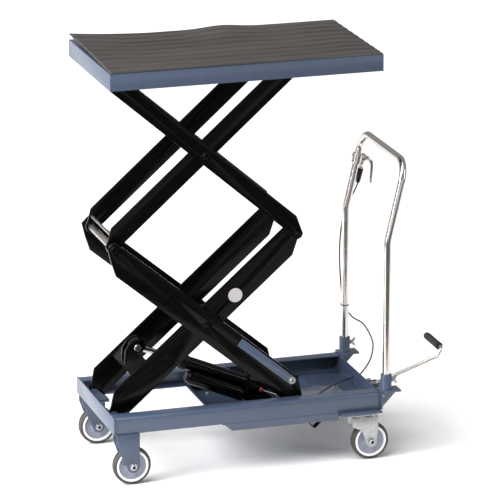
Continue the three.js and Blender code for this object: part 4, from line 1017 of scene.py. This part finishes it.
def build_lever():
    across, up = lever_frame()
    hinge = pivot("release_lever_squeeze", HANDLE_FOOT[1] * MM)
    clamp = hinge - across * LEVER_PIVOT[0] - up * LEVER_PIVOT[1]

    def spot(a, y, b):
        return clamp + across * (a * MM) + Y * (y * MM) + up * (b * MM)

    band = bmesh.new()
    turned(band, spot(0, 0, 0), up, mm_profile(
        (12.7, -17), (16.6, -17), (17.5, -16), (17.5, 16), (16.6, 17), (12.7, 17), (12.7, -17)), 48)
    cheek = mm_profile((13, -8), (33, -8), (36, -4), (36, 12), (32, 17), (13, 17))
    for side in (-1, 1):
        slab(band, cheek, spot(0, side * 9.7 - 1.9, 0), across, up, Y, 3.8 * MM, 1 * MM)
    sole = mm_profile((13, -8), (34, -8), (34, -6.2), (13, -6.2))
    slab(band, sole, spot(0, -8.5, 0), across, up, Y, 17 * MM, 0.5 * MM)
    turned(band, spot(BOOT_OUT, 0, -34), up, mm_profile(
        (3.4, 0), (6.4, 0), (7, 0.8), (7, 6), (6.4, 7), (6.4, 9), (7, 10), (7, 26.5), (3.4, 26.5),
        (3.4, 0)), 32)
    turned(band, spot(-17, 0, 8), -across, mm_profile(
        (0, -2), (5, -2), (5, 2.6), (4, 3.4), (2, 3.4), (2, 2), (0, 2)), 6)
    add_piece("clamp_band", band, "chrome", "base", ("lever_clamp",))

    grip = bmesh.new()
    blade = mm_profile(
        (-5, -4.5), (2, -6.5), (13, -9.5), (21, -16), (26.5, -27), (29.5, -43), (32.5, -62), (37, -84),
        (38.5, -87.5), (42, -88.5), (45, -86.5), (45, -83), (41.5, -62), (39, -44), (36.5, -26),
        (31.5, -11), (23, -1), (12, 5), (2, 6.5), (-5, 4))
    slab(grip, blade, hinge - Y * 6.8 * MM, across, up, Y, 13.6 * MM, 2.4 * MM, 3)
    add_piece("lever_blade", grip, "chrome", "release_lever", ("release_lever",))
    pin = bmesh.new()
    turned(pin, hinge - Y * 13.4 * MM, Y, mm_profile(
        (0, 0), (5, 0), (5.6, 0.6), (5.6, 1.8), (3.5, 2), (3.5, 24.8), (5.6, 25), (5.6, 26.2), (5, 26.8),
        (0, 26.8)), 24)
    add_piece("lever_rivet", pin, "zinc", "release_lever")

    boot = bmesh.new()
    profile = [(3.8, -34.4), (8, -34.4), (9.3, -35.6)]
    for i in range(9):
        z = -37.5 - i * 4.6
        crest, valley = 9.4 - i * 0.18, 8 - i * 0.2
        profile += [(crest, z), (crest, z - 1.8), (valley, z - 2.6), (valley, z - 4)]
    profile += [(6.4, -80), (5.4, -83.6), (3.8, -84), (3.8, -34.4)]
    turned(boot, spot(BOOT_OUT, 0, 0), up, mm_profile(*profile), 36)
    add_piece("boot_bellows", boot, "black_rubber", "base", ("cable_boot",))

    cable = bmesh.new()
    start = [spot(BOOT_OUT, 0, along) for along in (-12, -46, -86)]
    route = smooth_route(start + [at(*place) for place in CABLE_ROUTE], 10)
    swept(cable, route, CABLE_RADIUS, 14)
    add_piece("cable_sheath", cable, "dark", "base", ("release_cable",), 60)
    ferrule = bmesh.new()
    turned(ferrule, at(668, -66, 178), -X, mm_profile(
        (2.7, -12), (3.9, -12), (4, -2.2), (6.2, -2.1), (6.2, 0), (2.7, 0), (2.7, -12)), 20)
    turned(ferrule, at(662, -66, 178), -X, mm_profile((0, 0), (1.1, 0), (1.1, 5), (0, 5)), 12)
    add_piece("cable_ferrule", ferrule, "zinc", "base")
    tie = bmesh.new()
    x, y = HANDLE_FOOT
    loop = []
    for i in range(29):
        angle = 2 * math.pi * i / 28
        out = TIE_REACH * math.sin(angle) + TIE_STRETCH * max(0, math.sin(angle))
        loop.append(at(x + (TIE_REACH + 0.4) * math.cos(angle), y + out, TIE_HEIGHT))
    swept(tie, loop, 1.5 * MM, 10)
    add_piece("cable_tie", tie, "black_rubber", "base")


# ---------- pedal ----------


PEDAL_RISE = Vector((72, 0, 26)) * MM   # from the shaft to the arm's first bend
PEDAL_ROD_RADIUS = 6.5 * MM


def build_pedal():
    hub = pivot("pedal_pump", JOINTS["pedal_pump"]["pos_m"][1])
    grip_low, grip_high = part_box("pedal_grip")
    tip = (grip_low + grip_high) / 2
    corners = [hub + X * 2 * MM, hub + PEDAL_RISE, Vector((tip.x - 0.014, hub.y, tip.z - 0.028)),
               Vector((tip.x, hub.y, tip.z)), Vector((tip.x, grip_high.y - 0.006, tip.z))]
    route = rounded_route(corners, 17 * MM, 12)
    arm = bmesh.new()
    swept(arm, route, PEDAL_ROD_RADIUS, 24)
    add_piece("pedal_rod", arm, "chrome", "pedal", ("pedal_arm",), 50)

    hinge = bmesh.new()
    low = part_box("pedal_arm")[0]
    shaft_end = -0.053
    turned(hinge, Vector((hub.x, low.y, hub.z)), Y, rounded_rod(7 * MM, 0, shaft_end - low.y, 0.8 * MM), 32)
    turned(hinge, hub - Y * 14 * MM, Y, mm_profile((0, 0), (10, 0), (11, 1), (11, 27), (10, 28), (0, 28)), 36)
    ahead = PEDAL_RISE.normalized()
    turned(hinge, hub + ahead * 9 * MM, ahead, mm_profile(
        (0, 0), (9.4, 0), (9.4, 18), (8.6, 20), (7.2, 20.6), (0, 20.6)), 36)
    lean = math.radians(12)
    drop = Vector((math.sin(lean), 0, -math.cos(lean)))
    beside = Vector((math.cos(lean), 0, math.sin(lean)))
    crank = mm_profile((-8, -3), (-8, 4), (-5, 8), (5, 8), (8, 4), (8, -3), (6, -44), (4, -49), (-4, -49),
                       (-6, -44))
    inner = Vector((hub.x, shaft_end, hub.z))
    slab(hinge, crank, inner, beside, -drop, Y, 6 * MM, 1 * MM)
    turned(hinge, inner + drop * 49 * MM, Y, mm_profile(
        (0, 0), (4, 0), (4, 18.6), (3.4, 19.4), (0, 19.4)), 24)
    add_piece("pedal_shaft", hinge, "zinc", "pedal")

    knob = bmesh.new()
    front = Vector((hub.x, low.y + 0.4 * MM, hub.z))
    turned(knob, front, -Y, mm_profile(
        (0, 0), (9, 0), (9.8, 0.8), (9.8, 5), (8.6, 6.4), (4, 6.8), (0, 6.8)), 32)
    add_piece("pedal_shaft_cap", knob, "black_rubber", "pedal")

    grip = bmesh.new()
    length = (grip_high.y - grip_low.y) / MM
    profile = [(6.8, 0), (12.2, 0), (13, 1.4), (13, 4), (12, 5.2)]
    ribs = int((length - 16) / 5)
    for i in range(ribs):
        start = 7 + i * 5
        profile += [(11.7, start), (12.4, start + 0.9), (12.4, start + 3), (11.7, start + 3.9)]
    profile += [(12.1, length - 6), (11.6, length - 2.4), (9.6, length - 0.6), (6, length), (0, length),
                (0, length - 6), (6.8, length - 7), (6.8, 0)]
    turned(grip, Vector((tip.x, grip_low.y, tip.z)), Y, mm_profile(*profile), 40)
    add_piece("pedal_grip_ribbed", grip, "black_rubber", "pedal", ("pedal_grip",))


# ---------- platform and mat ----------


PLATFORM_EDGE_ROUND = 1.6 * MM


def build_platform():
    softened("platform", "blue", "platform", PLATFORM_EDGE_ROUND, steps=3)


def mat_recipe():
    """A ribbed sheet that waves a little, lifts at one corner and humps on its far edge."""
    recipe = Recipe("ribbed_mat", Length="NodeSocketFloat", Width="NodeSocketFloat", Pitch="NodeSocketFloat",
                    Rib="NodeSocketFloat", Wave="NodeSocketFloat", Curl="NodeSocketFloat",
                    Hump="NodeSocketFloat", Finish="NodeSocketMaterial")
    length, width = recipe.given("Length"), recipe.given("Width")
    sheet = recipe.node("GeometryNodeMeshGrid", {}, {
        "Size X": length, "Size Y": width, "Vertices X": 111, "Vertices Y": 313})
    spot = recipe.node("GeometryNodeInputPosition", {}, [])
    x = recipe.node("ShaderNodeSeparateXYZ", {}, [spot], "X")
    y = recipe.node("ShaderNodeSeparateXYZ", {}, [spot], "Y")
    ridge = ((y / recipe.given("Pitch") * (2 * math.pi)).math("COSINE") * 1.6 + 0.5).clamped()
    drift = (x * 6.1).math("SINE") * 1.3 + (x * 15 + y * 4).math("SINE") * 0.5
    furrow = (y * (2 * math.pi / 0.054) + drift).math("SINE") * 0.5 + 0.5
    swell = ((x * 9.5 + (y * 7).math("SINE")).math("SINE") * (y * 5.2 + x * 2.1).math("COSINE") + 1) * 0.5
    from_left = (x / length + 0.5) * 3.2
    from_near = (y / width + 0.5).clamped()
    lifted = (1 - from_left).clamped() ** 1.6 * from_near ** 0.7
    along = (x - 0.062) * 13
    across = (y / width - 0.5) * 3.2
    humped = ((along * along + across * across) * -1).math("EXPONENT")
    rise = (ridge * recipe.given("Rib") + (furrow * 0.6 + swell * 0.4) * recipe.given("Wave")
            + lifted * recipe.given("Curl") + humped * recipe.given("Hump"))
    shift = recipe.node("ShaderNodeCombineXYZ", {}, {"Z": rise})
    raised = recipe.node("GeometryNodeSetPosition", {}, {"Geometry": sheet, "Offset": shift})
    return recipe.close(raised)


def build_mat(sizes):
    low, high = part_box("rubber_mat")
    piece = bpy.data.objects.new("mat_ribbed", bpy.data.meshes.new("mat_start"))
    bpy.context.scene.collection.objects.link(piece)
    mat_recipe().apply(
        piece, Length=high.x - low.x, Width=high.y - low.y, Pitch=sizes.rib_pitch, Rib=sizes.rib_height,
        Wave=sizes.mat_wave, Curl=sizes.mat_curl, Hump=sizes.mat_hump, Finish=MATERIALS["mat"])
    shape = bmesh.new()
    shape.from_mesh(piece.data)
    centre = (low + high) / 2
    bmesh.ops.translate(shape, verts=shape.verts, vec=(centre.x, centre.y, low.z + 1.2 * MM))
    grown = bmesh.ops.extrude_face_region(shape, geom=list(shape.faces))
    under = [item for item in grown["geom"] if isinstance(item, bmesh.types.BMVert)]
    for vertex in under:
        vertex.co.z = max(low.z, vertex.co.z - 3.4 * MM)
    for face in shape.faces:
        face.smooth = True
    bmesh.ops.recalc_face_normals(shape, faces=shape.faces)
    shape.to_mesh(piece.data)
    shape.free()
    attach(piece, "platform")
    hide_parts("rubber_mat")


# ---------- small fasteners ----------


def hex_head():
    shape = bmesh.new()
    bolt_head(shape, Vector((0, 0, 0)), Z, 5 * MM, 6.2 * MM)
    return finish_mesh(shape, "hex_head")


def build_fasteners(recipe, head):
    spots = []
    for label, _ in SIDES:
        low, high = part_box(f"handle_socket_{label}")
        for y in (low.y + 9 * MM, high.y - 9 * MM):
            for z in (low.z + 14 * MM, high.z - 66 * MM):
                spots.append(((low.x + 6.1 * MM, y, z), (1, 0, 0)))
    low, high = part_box("pedal_bracket")
    for z in (low.z + 8 * MM, high.z - 8 * MM):
        spots.append(((low.x + 5.1 * MM, (low.y + high.y) / 2, z), (1, 0, 0)))
    low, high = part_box("linkage_cover")
    for x in (low.x + 14 * MM, high.x - 14 * MM):
        for y in (low.y + 12 * MM, high.y - 12 * MM):
            spots.append(((x, y, high.z + 0.05 * MM), (0, 0, 1)))
    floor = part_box("base_tray")[0].z + 3.05 * MM
    for x, y in ((430, 150), (430, -150), (720, 150), (720, -150)):
        place = at(x, y, 0)
        spots.append(((place.x, place.y, floor), (0, 0, 1)))
    place_heads("base_bolts", recipe, head, spots, "zinc", "base")


# ---------- stage ----------


CAMERA_LENS = 286.3
CAMERA_AIM = Vector((-0.0553, 0, 0.6891))
LIGHT_AIM = Vector((0, 0, 0.65))
WORLD_STRENGTH = 0.34
SUN_STRENGTH = 3.6


def area_light(name, place, aim, size, power):
    light = bpy.data.lights.new(name, "AREA")
    light.shape = "RECTANGLE"
    light.size, light.size_y = size
    light.energy = power
    lamp = bpy.data.objects.new(name, light)
    lamp.location = place
    lamp.rotation_euler = (Vector(aim) - Vector(place)).to_track_quat("-Z", "Y").to_euler()
    bpy.context.scene.collection.objects.link(lamp)


def reflection_card(name, centre, across, up, half, level):
    """A grey card beside the table, which only shows in what the bright parts mirror."""
    shape = bmesh.new()
    corners = [(-1, -1), (1, -1), (1, 1), (-1, 1)]
    shape.faces.new([shape.verts.new(Vector(centre) + across * a * half[0] + up * b * half[1])
                     for a, b in corners])
    card = finish_mesh(shape, name)
    finish = Finish(name, Base_Color=(0, 0, 0, 1), Specular_IOR_Level=0.0, Emission_Strength=1.0)
    shade = finish.mix(finish.noise(1.5, 2), (level * 0.6,) * 3, (level * 1.4,) * 3)
    card.data.materials.append(finish.feed(Emission_Color=shade))
    card.visible_camera = card.visible_diffuse = card.visible_shadow = card.visible_transmission = False


def build_stage(sizes):
    shape = bmesh.new()
    bmesh.ops.create_grid(shape, x_segments=2, y_segments=2, size=30)
    floor = finish_mesh(shape, "studio_floor")
    floor.location.z = -0.2 * MM
    floor.data.materials.append(stage_floor("studio_floor"))
    world = bpy.data.worlds.new("studio")
    world.use_nodes = True
    world.node_tree.nodes["Background"].inputs["Color"].default_value = (1, 1, 1, 1)
    world.node_tree.nodes["Background"].inputs["Strength"].default_value = WORLD_STRENGTH
    bpy.context.scene.world = world
    bpy.context.scene.view_settings.view_transform = "Standard"
    area_light("key_left", (-3.4, -0.7, 1.7), LIGHT_AIM, (1.6, 2.6), 150)
    area_light("strip_right", (3.0, -2.6, 1.9), LIGHT_AIM, (0.5, 2.6), 26)
    sun = bpy.data.lights.new("soft_sun", "SUN")
    sun.energy = SUN_STRENGTH
    sun.angle = math.radians(55)
    lamp = bpy.data.objects.new("soft_sun", sun)
    lamp.rotation_euler = (math.radians(12), math.radians(-32), 0)
    bpy.context.scene.collection.objects.link(lamp)

    reflection_card("card_front", (0, -3.4, 0.02), X, Y, (4.2, 2.3), 0.16)
    reflection_card("card_left", (-2.6, -0.3, 0.7), Y, Z, (0.55, 0.7), 0.02)
    reflection_card("card_right", (2.8, -0.7, 0.7), Y, Z, (0.8, 0.7), 0.03)

    camera = bpy.data.cameras.new("camera")
    camera.lens = CAMERA_LENS
    camera.sensor_width = 36
    view = bpy.data.objects.new("camera", camera)
    bpy.context.scene.collection.objects.link(view)
    azimuth, elevation = sizes.camera_azimuth, sizes.camera_elevation
    back = Vector((math.sin(azimuth) * math.cos(elevation), -math.cos(azimuth) * math.cos(elevation),
                   math.sin(elevation)))
    view.location = CAMERA_AIM + back * sizes.camera_distance
    view.rotation_mode = "QUATERNION"
    view.rotation_quaternion = (-back).to_track_quat("-Z", "Y")
    camera.clip_end = 100
    bpy.context.scene.camera = view


# ---------- operators ----------

SHARED = {}


class LIFTTABLE_OT_materials(bpy.types.Operator):
    """Makes the procedural finishes"""

    bl_idname = "lift_table.materials"
    bl_label = "Make finishes"

    def execute(self, context):
        make_materials(context.scene.lift_table_paint, context.scene.lift_table_sizes)
        return {"FINISHED"}


class LIFTTABLE_OT_stage(bpy.types.Operator):
    """Adds the floor, lights and camera"""

    bl_idname = "lift_table.stage"
    bl_label = "Set the stage"

    def execute(self, context):
        build_stage(context.scene.lift_table_sizes)
        return {"FINISHED"}


class LIFTTABLE_OT_base(bpy.types.Operator):
    """Rounds the base frame and adds its welds"""

    bl_idname = "lift_table.base"
    bl_label = "Build base"

    def execute(self, context):
        build_base(context.scene.lift_table_sizes.edge_round)
        return {"FINISHED"}


class LIFTTABLE_OT_arms(bpy.types.Operator):
    """Finishes the scissor arms and the clevis"""

    bl_idname = "lift_table.arms"
    bl_label = "Build arms"

    def execute(self, context):
        build_arms(context.scene.lift_table_sizes.edge_round)
        return {"FINISHED"}


class LIFTTABLE_OT_pins(bpy.types.Operator):
    """Turns the pins, washers and shafts"""

    bl_idname = "lift_table.pins"
    bl_label = "Build pins"

    def execute(self, context):
        build_pins()
        return {"FINISHED"}


class LIFTTABLE_OT_rollers(bpy.types.Operator):
    """Turns the four track rollers"""

    bl_idname = "lift_table.rollers"
    bl_label = "Build rollers"

    def execute(self, context):
        build_rollers()
        return {"FINISHED"}


class LIFTTABLE_OT_prop(bpy.types.Operator):
    """Finishes the service prop and its bolt"""

    bl_idname = "lift_table.prop"
    bl_label = "Build service prop"

    def execute(self, context):
        build_prop(context.scene.lift_table_sizes.edge_round)
        return {"FINISHED"}


class LIFTTABLE_OT_ram(bpy.types.Operator):
    """Builds the ram, pump, tank and release valve"""

    bl_idname = "lift_table.ram"
    bl_label = "Build ram"

    def execute(self, context):
        build_ram()
        return {"FINISHED"}


class LIFTTABLE_OT_casters(bpy.types.Operator):
    """Builds the forks, axles and wheels"""

    bl_idname = "lift_table.casters"
    bl_label = "Build casters"

    def execute(self, context):
        build_casters(0.8 * MM, *SHARED["heads"])
        return {"FINISHED"}


class LIFTTABLE_OT_handle(bpy.types.Operator):
    """Builds the push handle and its sockets"""

    bl_idname = "lift_table.handle"
    bl_label = "Build handle"

    def execute(self, context):
        build_handle(context.scene.lift_table_sizes.edge_round)
        return {"FINISHED"}


class LIFTTABLE_OT_lever(bpy.types.Operator):
    """Builds the lever, its clamp and its cable"""

    bl_idname = "lift_table.lever"
    bl_label = "Build release lever"

    def execute(self, context):
        build_lever()
        return {"FINISHED"}


class LIFTTABLE_OT_pedal(bpy.types.Operator):
    """Builds the pedal arm, shaft and grip"""

    bl_idname = "lift_table.pedal"
    bl_label = "Build pedal"

    def execute(self, context):
        build_pedal()
        return {"FINISHED"}


class LIFTTABLE_OT_platform(bpy.types.Operator):
    """Rounds the platform"""

    bl_idname = "lift_table.platform"
    bl_label = "Build platform"

    def execute(self, context):
        build_platform()
        return {"FINISHED"}


class LIFTTABLE_OT_mat(bpy.types.Operator):
    """Lays the ribbed mat"""

    bl_idname = "lift_table.mat"
    bl_label = "Build mat"

    def execute(self, context):
        build_mat(context.scene.lift_table_sizes)
        return {"FINISHED"}


class LIFTTABLE_OT_fasteners(bpy.types.Operator):
    """Adds the small bolts"""

    bl_idname = "lift_table.fasteners"
    bl_label = "Add fasteners"

    def execute(self, context):
        build_fasteners(*SHARED["heads"])
        return {"FINISHED"}


STEPS = (
    LIFTTABLE_OT_materials,
    LIFTTABLE_OT_stage,
    LIFTTABLE_OT_base,
    LIFTTABLE_OT_arms,
    LIFTTABLE_OT_pins,
    LIFTTABLE_OT_rollers,
    LIFTTABLE_OT_prop,
    LIFTTABLE_OT_ram,
    LIFTTABLE_OT_casters,
    LIFTTABLE_OT_handle,
    LIFTTABLE_OT_lever,
    LIFTTABLE_OT_pedal,
    LIFTTABLE_OT_platform,
    LIFTTABLE_OT_mat,
    LIFTTABLE_OT_fasteners,
)


class LIFTTABLE_PT_panel(bpy.types.Panel):
    """Lists the steps in the order that they run"""

    bl_label = "Scissor Lift Table"
    bl_space_type = "VIEW_3D"
    bl_region_type = "UI"
    bl_category = "Lift Table"

    def draw(self, context):
        for step in STEPS:
            self.layout.operator(step.bl_idname)


CLASSES = (LiftTablePaint, LiftTableSizes, *STEPS, LIFTTABLE_PT_panel)


def register():
    for item in CLASSES:
        bpy.utils.register_class(item)
    bpy.types.Scene.lift_table_paint = bpy.props.PointerProperty(type=LiftTablePaint)
    bpy.types.Scene.lift_table_sizes = bpy.props.PointerProperty(type=LiftTableSizes)


def unregister():
    del bpy.types.Scene.lift_table_sizes
    del bpy.types.Scene.lift_table_paint
    for item in reversed(CLASSES):
        bpy.utils.unregister_class(item)


def main():
    register()
    SHARED["heads"] = (heads_recipe(), hex_head())
    for step in STEPS:
        call = step.bl_idname.split(".")[1]
        getattr(bpy.ops.lift_table, call)()
    bpy.data.objects.remove(SHARED["heads"][1])


if __name__ == "__main__":
    main()
